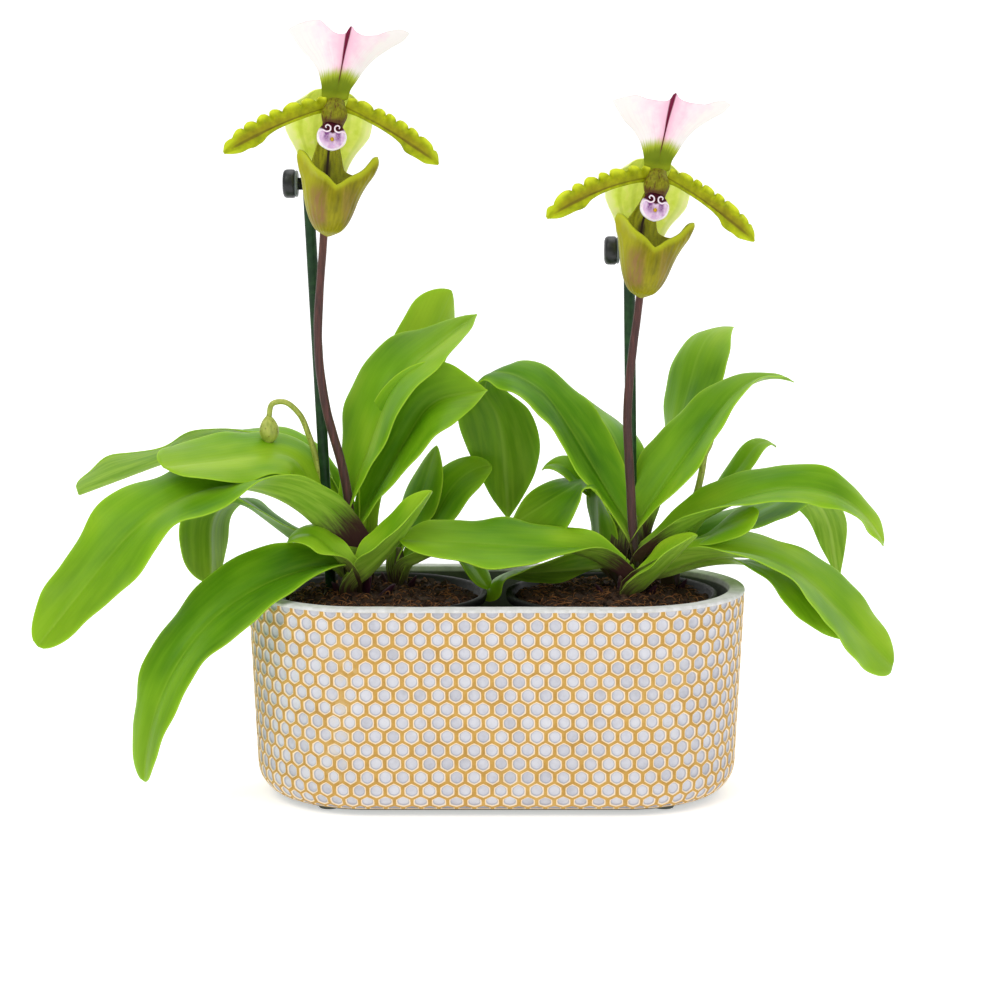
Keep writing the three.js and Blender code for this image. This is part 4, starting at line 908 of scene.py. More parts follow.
def oval(run, inset):
    """Points of the oval at a distance along its outline, moved in by inset. It starts front left"""
    run = np.mod(run + 1e-6, AROUND)
    second = run >= AROUND / 2
    half = run - AROUND / 2 * second
    turn = np.where(second, -1.0, 1.0)
    radius = END_RADIUS - inset
    angle = (half - STRAIGHT) / END_RADIUS - np.pi / 2
    straight = half < STRAIGHT
    x = np.where(straight, -STRAIGHT / 2 + half, STRAIGHT / 2 + radius * np.cos(angle))
    y = np.where(straight, -radius, radius * np.sin(angle))
    return turn * x, turn * y


def wall_at(down):
    """Inset, height and lean of the wall at a distance down it from the net's top"""
    t = np.clip(down / SIDE_RUN, 0, 1)
    lean = np.clip((down - SIDE_RUN) / ROUNDING, 0, np.pi / 2)
    inset = SIDE_TAPER * t + ROUNDING * (1 - np.cos(lean))
    z = NET_TOP - (NET_TOP - FOOT_HEIGHT - ROUNDING) * t - ROUNDING * np.sin(lean)
    return inset, z, lean


def on_wall(run, down, deep):
    """Points at the given depths under the wall's surface"""
    inset, z, lean = wall_at(down)
    x, y = oval(run, inset + deep * np.cos(lean))
    return np.stack([x, y, z + deep * np.sin(lean)], -1)


def hexagon():
    """Corners of a cell and the middles of its sides, from its centre"""
    angle = np.pi / 2 + np.arange(6) * np.pi / 3
    corner = np.stack([np.cos(angle) / math.cos(np.pi / 6), np.sin(angle)], -1)
    middle = (corner + np.roll(corner, -1, axis=0)) / 2
    return np.stack([corner, middle], 1).reshape(-1, 2) * [CELL_PITCH / 2, ROW_PITCH * 2 / 3]


def round_hollow():
    """The rounder outline of a cell's floor, with a point for each point of the hexagon"""
    angle = np.pi / 2 + np.arange(CELL_SIDES) * 2 * np.pi / CELL_SIDES
    return np.stack([np.cos(angle), np.sin(angle)], -1) * [CELL_PITCH / 2 * 0.97, ROW_PITCH / 2 * 1.2]


def net_shape(shape):
    """The raised honeycomb net: each cell has a ring of points per contour, from its crest to its floor"""
    outer, inner = hexagon(), round_hollow()
    rng = np.random.default_rng(11)
    bottom = ROWS * ROW_PITCH
    count = len(CELL_CONTOURS)
    last = (count - 1) * CELL_SIDES
    faces = [f[::-1] for f in grid_faces(count, CELL_SIDES, around=True)]
    faces += [[last + j, last + (j + 1) % CELL_SIDES, count * CELL_SIDES] for j in range(CELL_SIDES)]
    for row, cell in np.ndindex(ROWS + 1, CELLS):
        centre = np.array([(cell + row % 2 / 2) * CELL_PITCH, row * ROW_PITCH])
        shade, jitter = rng.random(), rng.normal(0, 0.09, 2)
        size = 1 + rng.normal(0, 0.018)
        away = past_seam(centre[0], centre[1])
        flaw = float(hump(away, 0, 3.4) * step(centre[1], 8, 20) * step(centre[1], 76, 66))
        jitter = jitter + flaw * rng.normal(0, 0.5, 2)
        stretch = np.array([0.94 + flaw * rng.uniform(-0.34, 0.3), 1 - flaw * rng.uniform(0, 0.18)])
        shallow = 1 - 0.35 * flaw
        rows, colours = [], []
        for share, depth, colour in CELL_CONTOURS:
            rounding = float(step(share, 0.95, 0.6))
            form = outer * (1 - rounding) + inner * rounding
            spot = centre + form * share * (size * stretch if share < 1 else 1)
            spot = spot + (jitter if share < 0.95 else 0)
            spot[:, 1] = np.clip(spot[:, 1], 0, bottom)
            dip = CELL_DEPTH * depth * shallow + seam_dip(spot) * max(0.0, 1 - depth)
            rows.append(on_wall(spot[:, 0], spot[:, 1], dip))
            colours.append(np.full(CELL_SIDES, colour + (0.06 * flaw if share > 0.8 else 0)))
        middle = centre + jitter
        floor = on_wall(middle[0], np.clip(middle[1], 0, bottom), FLOOR_DEPTH * shallow)
        points = np.vstack([*rows, floor])
        shape.add(points, faces, cell=np.concatenate([*colours, [1.0]]), shade=shade, flaw=flaw, part=0.0)


def past_seam(run, down):
    """How far a place is past the casting seam, which crosses the net left of the front"""
    seam = -5.8 - 11.0 * (down / 87.0)
    return (run - seam + AROUND / 2) % AROUND - AROUND / 2


def seam_dip(spot):
    """How far the net is sunk at points near the seam"""
    away = past_seam(spot[:, 0], spot[:, 1])
    fading = step(spot[:, 1], 10, 22) * step(spot[:, 1], 78, 66)
    rough = 0.5 + 0.5 * np.sin(spot[:, 1] * 0.61) * np.sin(spot[:, 1] * 0.23 + 1.0)
    return 0.5 * hump(away, 0, 1.6) * fading * rough


RIM = [
    (0.12, -0.12), (-0.02, 0.1), (0.0, 0.65), (0.12, 1.05), (0.4, 1.3), (0.75, 1.4), (3.2, 1.42), (5.8, 1.4),
    (6.3, 1.28), (6.6, 1.0), (6.72, 0.6),
]
NET_BACKING = 1.35
INNER_FLOOR = 9.5
BODY_STEPS = 296


def planter_body(shape):
    """The tub behind the net: rounded underside, rim, inner wall, floor and four cast feet"""
    run = np.linspace(0, AROUND, BODY_STEPS, endpoint=False)
    net_end = ROWS * ROW_PITCH
    profile = []
    for down in np.linspace(SIDE_RUN + ROUNDING * np.pi / 2, 0.9, 34):
        inset, z, lean = wall_at(down)
        deep = NET_BACKING * (1.0 if down < net_end else float(step(down, net_end + 3, net_end)))
        profile.append((float(inset + deep * np.cos(lean)), float(z + deep * np.sin(lean))))
    profile += [(NET_BACKING, NET_TOP - 0.25)] + [(inset, NET_TOP + up) for inset, up in RIM]
    for z in np.linspace(HEIGHT - 4, 11.5, 12):
        profile.append((7 + 3 * (HEIGHT - z) / (HEIGHT - INNER_FLOOR), float(z)))
    profile += [(11.0, 9.9), (13.0, INNER_FLOOR)]
    rings = np.array([np.stack([*oval(run, inset), np.full(BODY_STEPS, z)], -1) for inset, z in profile])
    wobble = hash_noise(rings, 16, 5) * 0.12 + hash_noise(rings, 5, 9) * 0.05
    rings[-30:, :, 2] += wobble[-30:] * (rings[-30:, :, 2] > NET_TOP)
    points = np.vstack([rings.reshape(-1, 3), [[0, 0, FOOT_HEIGHT]], [[0, 0, INNER_FLOOR]]])
    faces = grid_faces(len(profile), BODY_STEPS, around=True)
    faces += end_fans(len(profile), BODY_STEPS, len(points) - 2, len(points) - 1)
    shape.add(points, outward(points, faces), **CEMENT_BODY)
    for x in (-70, 70):
        for y in (-29, 29):
            shape.add(*turned([(3.9, 0.0), (4.3, 0.12), (4.5, 0.5), (4.5, 3.4)], 28, x, y), **CEMENT_BODY)


def planter_material():
    look = Look("cement", roughness=0.78)
    place = look.place()
    cell, shade, flaw, part = (look.value(n) for n in ("cell", "shade", "flaw", "part"))
    grain = look.noise(place, 2600, 3.0, 0.7)
    blotch = look.noise(place, 260, 4.0, 0.6)
    wide = look.noise(place, 45, 3.0, 0.5)
    plaster = look.ramp(look.plus(look.times(shade, 0.3), look.times(blotch, 0.7)),
                        (0.2, "b2b3bb"), (0.36, "c2c3cc"), (0.55, "cfd0d8"), (0.85, "dbdce2"))
    plaster = look.over(plaster, "aeb1b6", wide, 0.55, 0.8, 0.0, 0.3)
    plaster = look.over(plaster, "989ba6", grain, 0.58, 0.8, 0.0, 0.25)
    # Cream on the net's sloping walls: partly pale paint, partly a painted highlight where the walls catch
    # the light.
    cream_and_highlight = look.mix(blotch, "ecd3ae", "f6e6cb")
    gold = look.ramp(look.plus(look.times(blotch, 0.6), look.times(grain, 0.4)),
                     (0.25, "9c7638"), (0.5, "c19544"), (0.75, "d5ab5a"))
    gold = look.over(gold, "d8b36a", wide, 0.5, 0.75, 0.0, 0.35)
    rough_edge = look.strayed(cell, blotch, 0.14)
    body = look.mix(look.band(rough_edge, 0.1, 0.26), gold, cream_and_highlight)
    # Painted shade: the plaster darkens in a ring round the inside of each cell, where its sloping wall lies
    # in shadow.
    ring = look.both(look.band(cell, 0.5, 0.68), look.band(cell, 1.0, 0.78))
    plaster = look.mix(look.times(ring, 0.65), plaster, "9c9aa4")
    body = look.over(body, plaster, rough_edge, 0.5, 0.66)
    body = look.mix(look.both(flaw, look.band(blotch, 0.42, 0.6, 0.0, 0.4)), body, "c8b184")
    # Bare cement: a light rim, and below it, inside and underneath, a dark grey that is painted shade
    rim = look.mix(look.band(blotch, 0.35, 0.7), "cccdc9", "dfdfde")
    rim = look.over(rim, "aeb0ac", grain, 0.55, 0.8, 0.0, 0.4)
    inner = look.mix(blotch, "4c5148", "63685d")
    tall = look.node("ShaderNodeSeparateXYZ")
    look.put(tall.inputs[0], place)
    bare = look.mix(look.band(tall.outputs[2], 0.0862, 0.0872), inner, rim)
    body = look.mix(part, body, bare)
    return look.finish(body, look.plus(look.times(grain, 0.5), blotch), 0.3, 0.5)


CEMENT = planter_material()
shape = Shape()
net_shape(shape)
planter_body(shape)
shape.build("planter_body", CEMENT, ["planter"])


# Liner pots and the bark in them

LINER_OFFSET = 49.0


def plastic(name, base, other, roughness, scale=500):
    """Slightly mottled plastic of two colours"""
    look = Look(name, roughness=roughness, Specular_IOR_Level=0.25)
    place = look.place()
    grain = look.noise(place, scale, 4.0, 0.6)
    body = look.mix(look.band(grain, 0.35, 0.75), base, other)
    look.rough(look.band(grain, 0.3, 0.7, roughness - 0.06, roughness + 0.12))
    return look.finish(body, grain, 0.12, 0.5)


LINER = plastic("liner_plastic", "0f1010", "1d1f1f", 0.55)
LINER_PROFILE = [
    (0.5, 9.8), (30.0, 9.8), (30.9, 10.7), (40.8, 82.1), (43.9, 82.8), (44.4, 83.0), (44.8, 84.1),
    (45.0, 85.5), (44.9, 86.1), (44.4, 86.5), (43.4, 86.45), (42.8, 86.3), (42.4, 85.7), (41.0, 82.9),
    (39.6, 81.9), (29.7, 11.0), (0.5, 11.0),
]
for side, x in (("left", -LINER_OFFSET), ("right", LINER_OFFSET)):
    shape = Shape()
    shape.add(*turned(LINER_PROFILE, 96, x, 0))
    shape.build(f"liner_{side}_shell", LINER, [f"liner_{side}"])


def bark_material():
    look = Look("bark", roughness=0.92)
    place = look.place()
    kind = look.value("kind")
    grain = look.noise(place, 900, 5.0, 0.7)
    streak = look.noise(look.scaled(place, 700, 700, 2600), 1.0, 4.0, 0.7)
    soil = look.ramp(grain, (0.25, "0a0603"), (0.5, "1c1108"), (0.75, "382412"))
    chip = look.ramp(streak, (0.25, "170d05"), (0.5, "35200f"), (0.75, "65431f"))
    fibre = look.ramp(streak, (0.25, "4e2d15"), (0.5, "84552c"), (0.8, "b98650"))
    body = look.mix(look.band(kind, 0.1, 0.45), soil, chip)
    body = look.over(body, fibre, kind, 0.75, 0.95)
    return look.finish(body, grain, 0.8, 0.8)


BARK = bark_material()


def bark_chip(rng, centre, size):
    """A small splintered block of bark: a box whose corners are moved in at random, turned at random"""
    corners = np.array([[-1, -1, -1], [1, -1, -1], [1, 1, -1], [-1, 1, -1],
                        [-1, -1, 1], [1, -1, 1], [1, 1, 1], [-1, 1, 1]], float)
    corners = corners * (np.array(size) / 2) * rng.uniform(0.6, 1.05, (8, 3))
    turn = Matrix.Rotation(rng.uniform(0, 2 * math.pi), 3, "Z")
    turn = turn @ Matrix.Rotation(rng.uniform(-0.7, 0.7), 3, "X")
    turn = turn @ Matrix.Rotation(rng.uniform(-0.6, 0.6), 3, "Y")
    faces = [[0, 3, 2, 1], [4, 5, 6, 7], [0, 1, 5, 4], [1, 2, 6, 5], [2, 3, 7, 6], [3, 0, 4, 7]]
    return corners @ np.array(turn).T + centre, faces


def fibre(rng, centre, length, radius):
    """A curved thread that lies on the bark"""
    heading = rng.uniform(0, 2 * math.pi)
    bow = rng.uniform(-0.9, 0.9)
    t = np.linspace(-0.5, 0.5, 7)
    angle = heading + bow * t
    x = np.cumsum(np.cos(angle)) * length / 7
    y = np.cumsum(np.sin(angle)) * length / 7
    z = rng.uniform(0.2, 1.4) + rng.uniform(-0.15, 0.15) * length * t
    z = z + rng.uniform(0, 1.6) * (0.25 - t**2) * 4
    path = np.stack([x - x.mean(), y - y.mean(), z], -1) + centre
    return tube(swept(path, radius * (1 - 0.6 * np.abs(2 * t) ** 2), 4))


BARK_HEIGHT, BARK_RADIUS = 85.4, 39.5
BARK_CHIPS, BARK_FIBRES = 1100, 900


def medium_top(x, y, centre, seed):
    """Height of the bark at a place: rough, and lower towards the liner's wall"""
    here = np.stack([x, y, np.zeros_like(x)], -1)
    far = np.hypot(x - centre, y) / BARK_RADIUS
    relief = 1.3 * hash_noise(here, 11, seed) + 0.8 * hash_noise(here, 4.5, seed + 1)
    relief = relief + 0.4 * hash_noise(here, 2.0, seed + 2)
    return BARK_HEIGHT + relief * (1 - 0.4 * far) - 2.4 * far**4


def bark_bed(centre, seed):
    """The solid under the chips: its side first, then rings over the top to the middle"""
    rings = [circle(centre, 0, 29.0, 11.4, 110), circle(centre, 0, 38.9, 80.7, 110)]
    for r in np.linspace(39.2, 0.8, 42):
        ring = circle(centre, 0, r, 0, 110)
        ring[:, 2] = medium_top(ring[:, 0], ring[:, 1], centre, seed)
        rings.append(ring)
    return tube(np.array(rings))


def place_on_bark(rng, reach, centre, seed):
    """A random place on the bark within a reach of its middle"""
    r, a = reach * math.sqrt(rng.random()), rng.uniform(0, 2 * math.pi)
    x, y = centre + r * math.cos(a), r * math.sin(a)
    return x, y, float(medium_top(np.array(x), np.array(y), centre, seed))


for side, centre, seed in (("left", -LINER_OFFSET, 7), ("right", LINER_OFFSET, 21)):
    rng = np.random.default_rng(seed)
    shape = Shape()
    shape.add(*bark_bed(centre, seed), kind=0.0)
    for _ in range(BARK_CHIPS):
        x, y, z = place_on_bark(rng, BARK_RADIUS, centre, seed)
        big = rng.random() ** 2
        size = (1.6 + 6.5 * big * rng.uniform(0.6, 1), 1.0 + 2.6 * big, 0.7 + 1.6 * big)
        points, faces = bark_chip(rng, (x, y, z + rng.uniform(-0.3, 0.9)), size)
        shape.add(points, faces, kind=0.35 + 0.3 * rng.random())
    for _ in range(BARK_FIBRES):
        place = place_on_bark(rng, BARK_RADIUS - 1, centre, seed)
        points, faces = fibre(rng, place, rng.uniform(2.5, 8), rng.uniform(0.1, 0.28))
        shape.add(points, faces, kind=1.0 if rng.random() < 0.55 else 0.6)
    shape.build(f"medium_{side}_bark", BARK, [f"medium_{side}"], flat=True)


# Flower stems, stakes and clips

SCAPES = {
    "left": [
        [-62.5, 2.6, 92.5], [-62.2, 2, 116.8], [-63.4, 2, 129.7], [-66.5, 1, 144.8], [-70.7, 0, 160.2],
        [-72.8, 0, 171.2], [-74.5, 0, 184.7], [-74.7, 0, 198.2], [-74.1, 1, 211.2], [-72.3, 3, 235.1],
        [-70.7, 6, 259.9], [-68.9, 7, 280.5], [-67, 3.5, 291], [-66, -1, 293.6], [-65.6, -5, 293.2]],
    "right": [
        [59.1, -3, 90.5], [57.9, -3.2, 109.5], [56.4, -2, 134.5], [55.1, -1, 160.3], [56, -1, 178.9],
        [57.1, -1, 189], [58.4, 0, 199], [59.7, 1, 209.1], [62.6, 4, 230.9], [65.4, 5, 251.6],
        [66.4, 1, 262.5], [66.3, -3.5, 265.2], [66.1, -7, 264.8]],
}
SCAPE_RADII = [1.95, 1.95, 1.95, 1.95, 1.9, 1.85, 1.8, 1.7, 1.65, 1.65, 2.3, 2.8]


def scape_material():
    look = Look("scape", roughness=0.55, Sheen_Weight=0.25, Sheen_Roughness=0.4)
    place = look.place()
    tall = look.value("height")
    long_streak = look.noise(look.scaled(place, 900, 900, 60), 1.0, 4.0, 0.6)
    fuzz = look.noise(place, 3200, 2.0, 0.7)
    body = look.ramp(long_streak, (0.3, "2a1211"), (0.5, "431f1b"), (0.72, "5e302a"))
    body = look.over(body, "201a08", tall, 92.0, 126.0, 0.8, 0.0)
    body = look.over(body, "6e4129", tall, 195.0, 262.0, 0.0, 0.45)
    body = look.over(body, "8f9a3c", tall, 262.0, 285.0, 0.0, 0.6)
    body = look.over(body, "8c5a50", fuzz, 0.55, 0.8, 0.0, 0.3)
    return look.finish(body, look.plus(fuzz, long_streak), 0.25, 0.6)


SCAPE = scape_material()
for side, route in SCAPES.items():
    shape = Shape()
    rooted = [list(np.array(route[0]) + [0.2, -0.2, -12])] + route
    points, faces = rod(rooted, SCAPE_RADII, 20, 150, lambda p: 0.12 * hash_noise(p * [1, 1, 0.25], 2.2, 4))
    shape.add(points, faces, height=points[:, 2:3])
    shape.build(f"scape_{side}_stem", SCAPE, [f"scape_{side}"])


STAKES = {
    "left": dict(foot=[-69.2, 9, 44.5], head=[-79, 9, 259.5], radius=2.3),
    "right": dict(foot=[59.2, 14, 44.5], head=[55.6, 8, 236.5], radius=2.4),
}
STAKE = plastic("stake_plastic", "16321a", "274a26", 0.42, 260)
for side, spec in STAKES.items():
    foot, head = np.array(spec["foot"]), np.array(spec["head"], float)
    along = unit(head - foot)
    low = [foot + along * up for up in (0, 80, 150)]
    path = np.array(low + [head - along * down for down in (1.6, 0.5, 0)])
    shape = Shape()
    shape.add(*tube(swept(path, np.array([1, 1, 1, 1, 0.92, 0.6]) * spec["radius"], 28)))
    shape.build(f"stake_{side}_rod", STAKE, [f"stake_{side}"])


def clip_material():
    look = Look("clip_plastic", roughness=0.4)
    place = look.place()
    ring = look.value("ring")
    grain = look.noise(place, 700, 3.0, 0.6)
    body = look.mix(look.band(grain, 0.3, 0.7), "0b0d0e", "181c1e")
    body = look.mix(ring, body, "6f7776")
    return look.finish(body, grain, 0.08, 0.4)


CLIP = clip_material()


def along_x(profile, start, around, centre):
    """A solid turned on a line along -X, from profile points of how far along past start, and radius"""
    angle = full_turn(around)
    rings = [np.stack([np.full(around, centre[0] - start - h), centre[1] + r * np.cos(angle),
                       centre[2] + r * np.sin(angle)], -1) for h, r in profile]
    return tube(np.array(rings))


def at_height(route, z):
    """The place on a route at a height"""
    p = np.array(route, float)
    k = int(np.argmax(p[:, 2] > z))
    t = (z - p[k - 1][2]) / (p[k][2] - p[k - 1][2])
    return p[k - 1] + (p[k] - p[k - 1]) * t


def eye(centre, inner, outer, height, around=30):
    """A flat ring with bevelled edges that goes round a stem or a stake"""
    profile = [(inner, -height / 2), (outer - 0.3, -height / 2), (outer, -height / 2 + 0.3),
               (outer, height / 2 - 0.3), (outer - 0.3, height / 2), (inner, height / 2)]
    points = np.vstack([circle(centre[0], centre[1], r, centre[2] + h, around) for r, h in profile])
    faces = [[p % len(points) for p in f] for f in grid_faces(len(profile) + 1, around, around=True)]
    return points, outward(points, faces)


EYE_HEIGHT = 5.0
NECK = [(-0.2, 0.01), (-0.2, 2.5), (0.8, 2.5), (0.8, 0.01)]
COLLAR = [(0.7, 0.01), (0.7, 4.6), (0.85, 5.3), (1.4, 5.6), (2.0, 5.3), (2.1, 4.6), (2.1, 0.01)]
KNOB = [(2.0, 0.01), (2.0, 5.3), (2.25, 5.85), (2.8, 6.0), (5.2, 6.0), (6.1, 5.8), (6.7, 5.2), (7.0, 4.2),
        (7.05, 2.4), (6.9, 1.9), (6.9, 0.01)]
for side, z in (("left", 258.3), ("right", 230.5)):
    stake = STAKES[side]
    at_stake = at_height([stake["foot"], stake["head"]], z)
    shape = Shape()
    shape.add(*eye(at_stake, stake["radius"] + 0.35, stake["radius"] + 1.8, EYE_HEIGHT), ring=0.0)
    shape.add(*eye(at_height(SCAPES[side], z), 2.35, 3.6, EYE_HEIGHT), ring=0.0)
    for profile, around, ring in ((NECK, 32, 0.0), (COLLAR, 40, 0.75), (KNOB, 48, 0.0)):
        shape.add(*along_x(profile, stake["radius"] + 1.0, around, at_stake), ring=ring)
    shape.build(f"clip_{side}_jaws", CLIP, [f"clip_{side}"])


# Side shoots with buds

SHOOTS = {
    "left": dict(route=[
        [-66, 9, 100.5], [-74, 9, 129.5], [-78, 8.5, 146.8], [-79.7, 8.3, 152], [-83.3, 7, 161.1],
        [-89.4, 5, 166.8], [-94.8, 4, 166.1], [-96.2, 4, 160.6]],
        radius=1.3, bud=[-96.4, 4, 155.3], nod=1),
    "right": dict(route=[
        [77, 16.5, 98], [87, 25, 125.5], [89, 27, 133.5], [90.5, 29, 141.5], [92.5, 31, 145],
        [96, 34.2, 157.5]],
        radius=1.5, bud=[96.5, 34.5, 160], nod=-1),
}


def bud_material():
    look = Look("bud", roughness=0.45)
    place = look.place()
    speck = look.cells(place, 620)
    streak = look.noise(look.scaled(place, 700, 700, 160), 1.0, 3.0, 0.6)
    body = look.mix(look.band(streak, 0.3, 0.7), "93a23a", "b9c157")
    body = look.over(body, "6d5a26", speck, 0.3, 0.12, 0.0, 0.6)
    return look.finish(body, streak, 0.3, 0.5)


def closed_bud(place, length):
    """A pointed bud with three rounded ridges. A negative length makes it hang"""
    t = np.linspace(0.0, 1.0, 26)
    radius = 4.2 * np.sin(np.pi * np.clip(t, 0.003, 0.997)) ** 0.62 * (0.86 + 0.24 * t)
    angle = full_turn(28)
    out = radius[:, None] * (1 + 0.06 * np.cos(3 * angle))
    z = np.repeat(((t - 0.5) * length)[:, None], 28, 1)
    return tube(np.stack([out * np.cos(angle), out * np.sin(angle), z], -1) + np.array(place))


BUD = bud_material()
for side, spec in SHOOTS.items():
    shape = Shape()
    shape.add(*rod(spec["route"], [spec["radius"] * thick for thick in (1.05, 1, 0.9)], 16, 70))
    shape.add(*closed_bud(spec["bud"], -12.5 * spec["nod"]))
    shape.build(f"bud_{side}_shoot", BUD, [f"bud_{side}"])


# Flowers. Their own frame has x to the right, y up and z out of the front, from the receptacle

FLOWERS = {
    "left": dict(centre=[-65.6, -8, 293], yaw=12, roll=5.5, dorsal=(3, 4.4),
                 petals=[([-46.6, -21.7], 3.2), ([41.8, -26.4], 2)], sink=(0, 0)),
    "right": dict(centre=[66.1, -10, 264.5], yaw=12, roll=7.5, dorsal=(6, 1.6),
                  petals=[([-47.4, -19.3], 5.8), ([40.8, -29.4], 1.8)], sink=(-2, 3.2)),
}


def flower_frame(centre, yaw, roll):
    """The matrix from the flower's own frame to the part's"""
    made = Matrix.Translation(centre) @ Matrix.Rotation(math.pi / 2, 4, "X")
    made = made @ Matrix.Rotation(math.radians(-roll), 4, "Z") @ Matrix.Rotation(math.radians(yaw), 4, "Y")
    return np.array(made)


def placed(points, matrix):
    """Points of the flower's own frame in the part's"""
    return points @ matrix[:3, :3].T + matrix[:3, 3]


def add_sheet(shape, middle, thickness, matrix, across, part, **more):
    """A sheet given in the flower's frame, with its place there and on the sheet for the material"""
    points, faces = thin_sheet(placed(middle, matrix), thickness)
    own = np.tile(middle.reshape(-1, 3), (2, 1))
    underside = np.repeat([0.0, 1.0], len(points) // 2)
    grid = np.stack([np.tile(part.ravel(), 2), np.tile(across.ravel(), 2), underside], -1)
    shape.add(points, faces, own=own, grid=grid, **{k: np.tile(np.ravel(v), 2) for k, v in more.items()})


# Top edge of the dorsal sepal across it, and how far its sides stand from the midline on the way up
CRESTS = {
    "left": [(-1, 26.7), (-0.85, 29), (-0.65, 30.8), (-0.49, 31.2), (-0.37, 29), (-0.26, 26.9), (-0.14, 26),
             (-0.04, 26.4), (0.04, 29.4), (0.12, 27.3), (0.27, 26), (0.43, 26.4), (0.67, 28.6), (0.84, 29.4),
             (1, 28.2)],
    "right": [(-1, 25.7), (-0.8, 27.7), (-0.6, 28.9), (-0.4, 27.8), (-0.15, 27.6), (-0.05, 28.4),
              (0.03, 31.4), (0.11, 29.4), (0.3, 28.2), (0.53, 28.1), (0.7, 29.5), (0.87, 30.6), (1, 29.2)],
}
WING_LEFT = [(0, 5.7), (0.19, 6.8), (0.42, 9.3), (0.58, 12.8), (0.7, 16.8), (0.85, 20.6), (1, 24)]
WING_RIGHT = [(0, 5.1), (0.12, 5.4), (0.24, 6.9), (0.46, 10.4), (0.61, 13.8), (0.77, 19.3), (0.89, 24),
              (1, 26)]


def dorsal_sepal(shape, matrix, lean, side):
    """The broad upright sepal, hollowed forwards, with a keel and a crested top edge"""
    s = np.linspace(0, 1, 90) ** 0.9
    u = np.sin(np.linspace(-1, 1, 91) * np.pi / 2 * 0.95) / math.sin(np.pi / 2 * 0.95)
    across, part = np.meshgrid(u, s)
    away = np.abs(across)
    half = np.where(across < 0, curve_through(WING_LEFT, part), curve_through(WING_RIGHT, part))
    y = 0.2 + part * (curve_through(CRESTS[side], across) - 0.2)
    keel = 1.6 * (1 - away) * smooth(part / 0.1) * (1 - smooth(part / 0.6))
    z = 0.8 + 6 * part**1.4 - 5 * away**2.4 * smooth(part / 0.7) - keel
    z = z + 0.8 * np.sin(6.5 * across + 2.0) * part**2 * away + 0.3 * np.sin(15 * across) * part**4
    z = z - 0.9 * hump(across, 0, 0.035) * step(part, 0.15, 0.5) + 1.4 * hump(across, 0, 0.07) * part**6
    y = y - 1.5 * (1 - away**2) * (1 - part) ** 8
    x = across * half + lean * (0.75 * part**0.8 - 0.1)
    add_sheet(shape, np.stack([x, y, z], -1), 0.55 - 0.2 * part, matrix, across, part)


SYNSEPAL_HALF = [(0, 11), (0.06, 14), (0.15, 16.6), (0.3, 18), (0.4, 17.6), (0.5, 15.6), (0.6, 12.8),
                 (0.71, 10.4), (0.85, 8), (0.95, 5), (1, 0.6)]


def synsepal(shape, matrix):
    """The two lower sepals joined into one, behind the pouch"""
    s, u = np.linspace(0, 1, 70) ** 0.95, np.linspace(-1, 1, 41)
    across, part = np.meshgrid(u, s)
    half = curve_through(SYNSEPAL_HALF, part)
    y = 3.8 - 41.8 * part - 4.5 * np.abs(across) ** 3.5 * (1 - part) ** 4
    z = -4 - 4.5 * smooth(part / 0.5) + 3.4 * across**2 + 0.5 * np.sin(part * 17) * across**2
    z = z - 0.5 * hump(across, 0, 0.07)
    x = across * half - 1.6
    add_sheet(shape, np.stack([x, y, z], -1), 0.5, matrix, across, part)


# How far the petal reaches above and below its midrib on the way to the tip
PETAL_ABOVE = [(0, 4.4), (0.16, 5.0), (0.35, 5.5), (0.55, 5.6), (0.7, 5.5), (0.84, 4.7), (0.94, 2.9),
               (1, 0.3)]
PETAL_BELOW = [(0, 1.8), (0.16, 1.0), (0.35, 0.95), (0.5, 1.2), (0.6, 1.9), (0.69, 3.6), (0.77, 3.6),
               (0.85, 3.2), (0.94, 2.0), (1, 0.3)]
RUFFLES = 7.6


def petal(shape, matrix, tip, arch, seed):
    """A drooping strap-shaped petal with a ruffled upper edge"""
    side = math.copysign(1, tip[0])
    foot = np.array([side * 3.2, -3.5, 2.6])
    end = np.array([tip[0], tip[1], 4.0])
    bow = (foot + end) / 2 + np.array([0, arch, 4.0])
    s, u = np.linspace(0, 1, 240), np.linspace(-1, 1, 29)
    across, part = np.meshgrid(u, s)
    t = part[..., None]
    point = foot * (1 - t) ** 2 + 2 * bow * t * (1 - t) + end * t**2
    along = unit(2 * (bow - foot) * (1 - t) + 2 * (end - bow) * t)
    up = unit(np.stack([-along[..., 1] * side, along[..., 0] * side, np.zeros_like(part)], -1))
    half = np.where(across > 0, curve_through(PETAL_ABOVE, part), curve_through(PETAL_BELOW, part))
    strength = smooth(part / 0.08) * smooth((1 - part) / 0.05) * lerp(1, 0.45, smooth((part - 0.5) / 0.4))
    upper = np.where(across > 0, across**2.5, 0)
    lower = np.where(across < 0, across**2, 0) * step(part, 0.62, 0.8)
    uneven = 0.022 * np.sin(9 * part + seed) + 0.012 * np.sin(23 * part + 2 * seed)
    phase = 2 * np.pi * RUFFLES * (part + uneven) + seed
    ruffle = 1 - 2 * (1 - np.abs(np.sin(phase / 2))) ** 1.7
    lie = 1.15 * upper * ruffle * strength + 0.45 * lower * np.sin(phase * 0.8 + 1) * strength
    curl = upper * (1.9 * strength * np.cos(phase) - 1.0) - 0.6 * lower
    middle = point + up * (half * across + lie)[..., None]
    middle[..., 2] += curl - 0.45 * hump(across, 0, 0.1) * (1 - part)
    add_sheet(shape, middle, 0.5 + 0.35 * (1 - np.abs(across)) * (1 - part), matrix, across, part,
              ripple=(upper + 0.5 * lower) * (0.5 + 0.5 * ruffle))


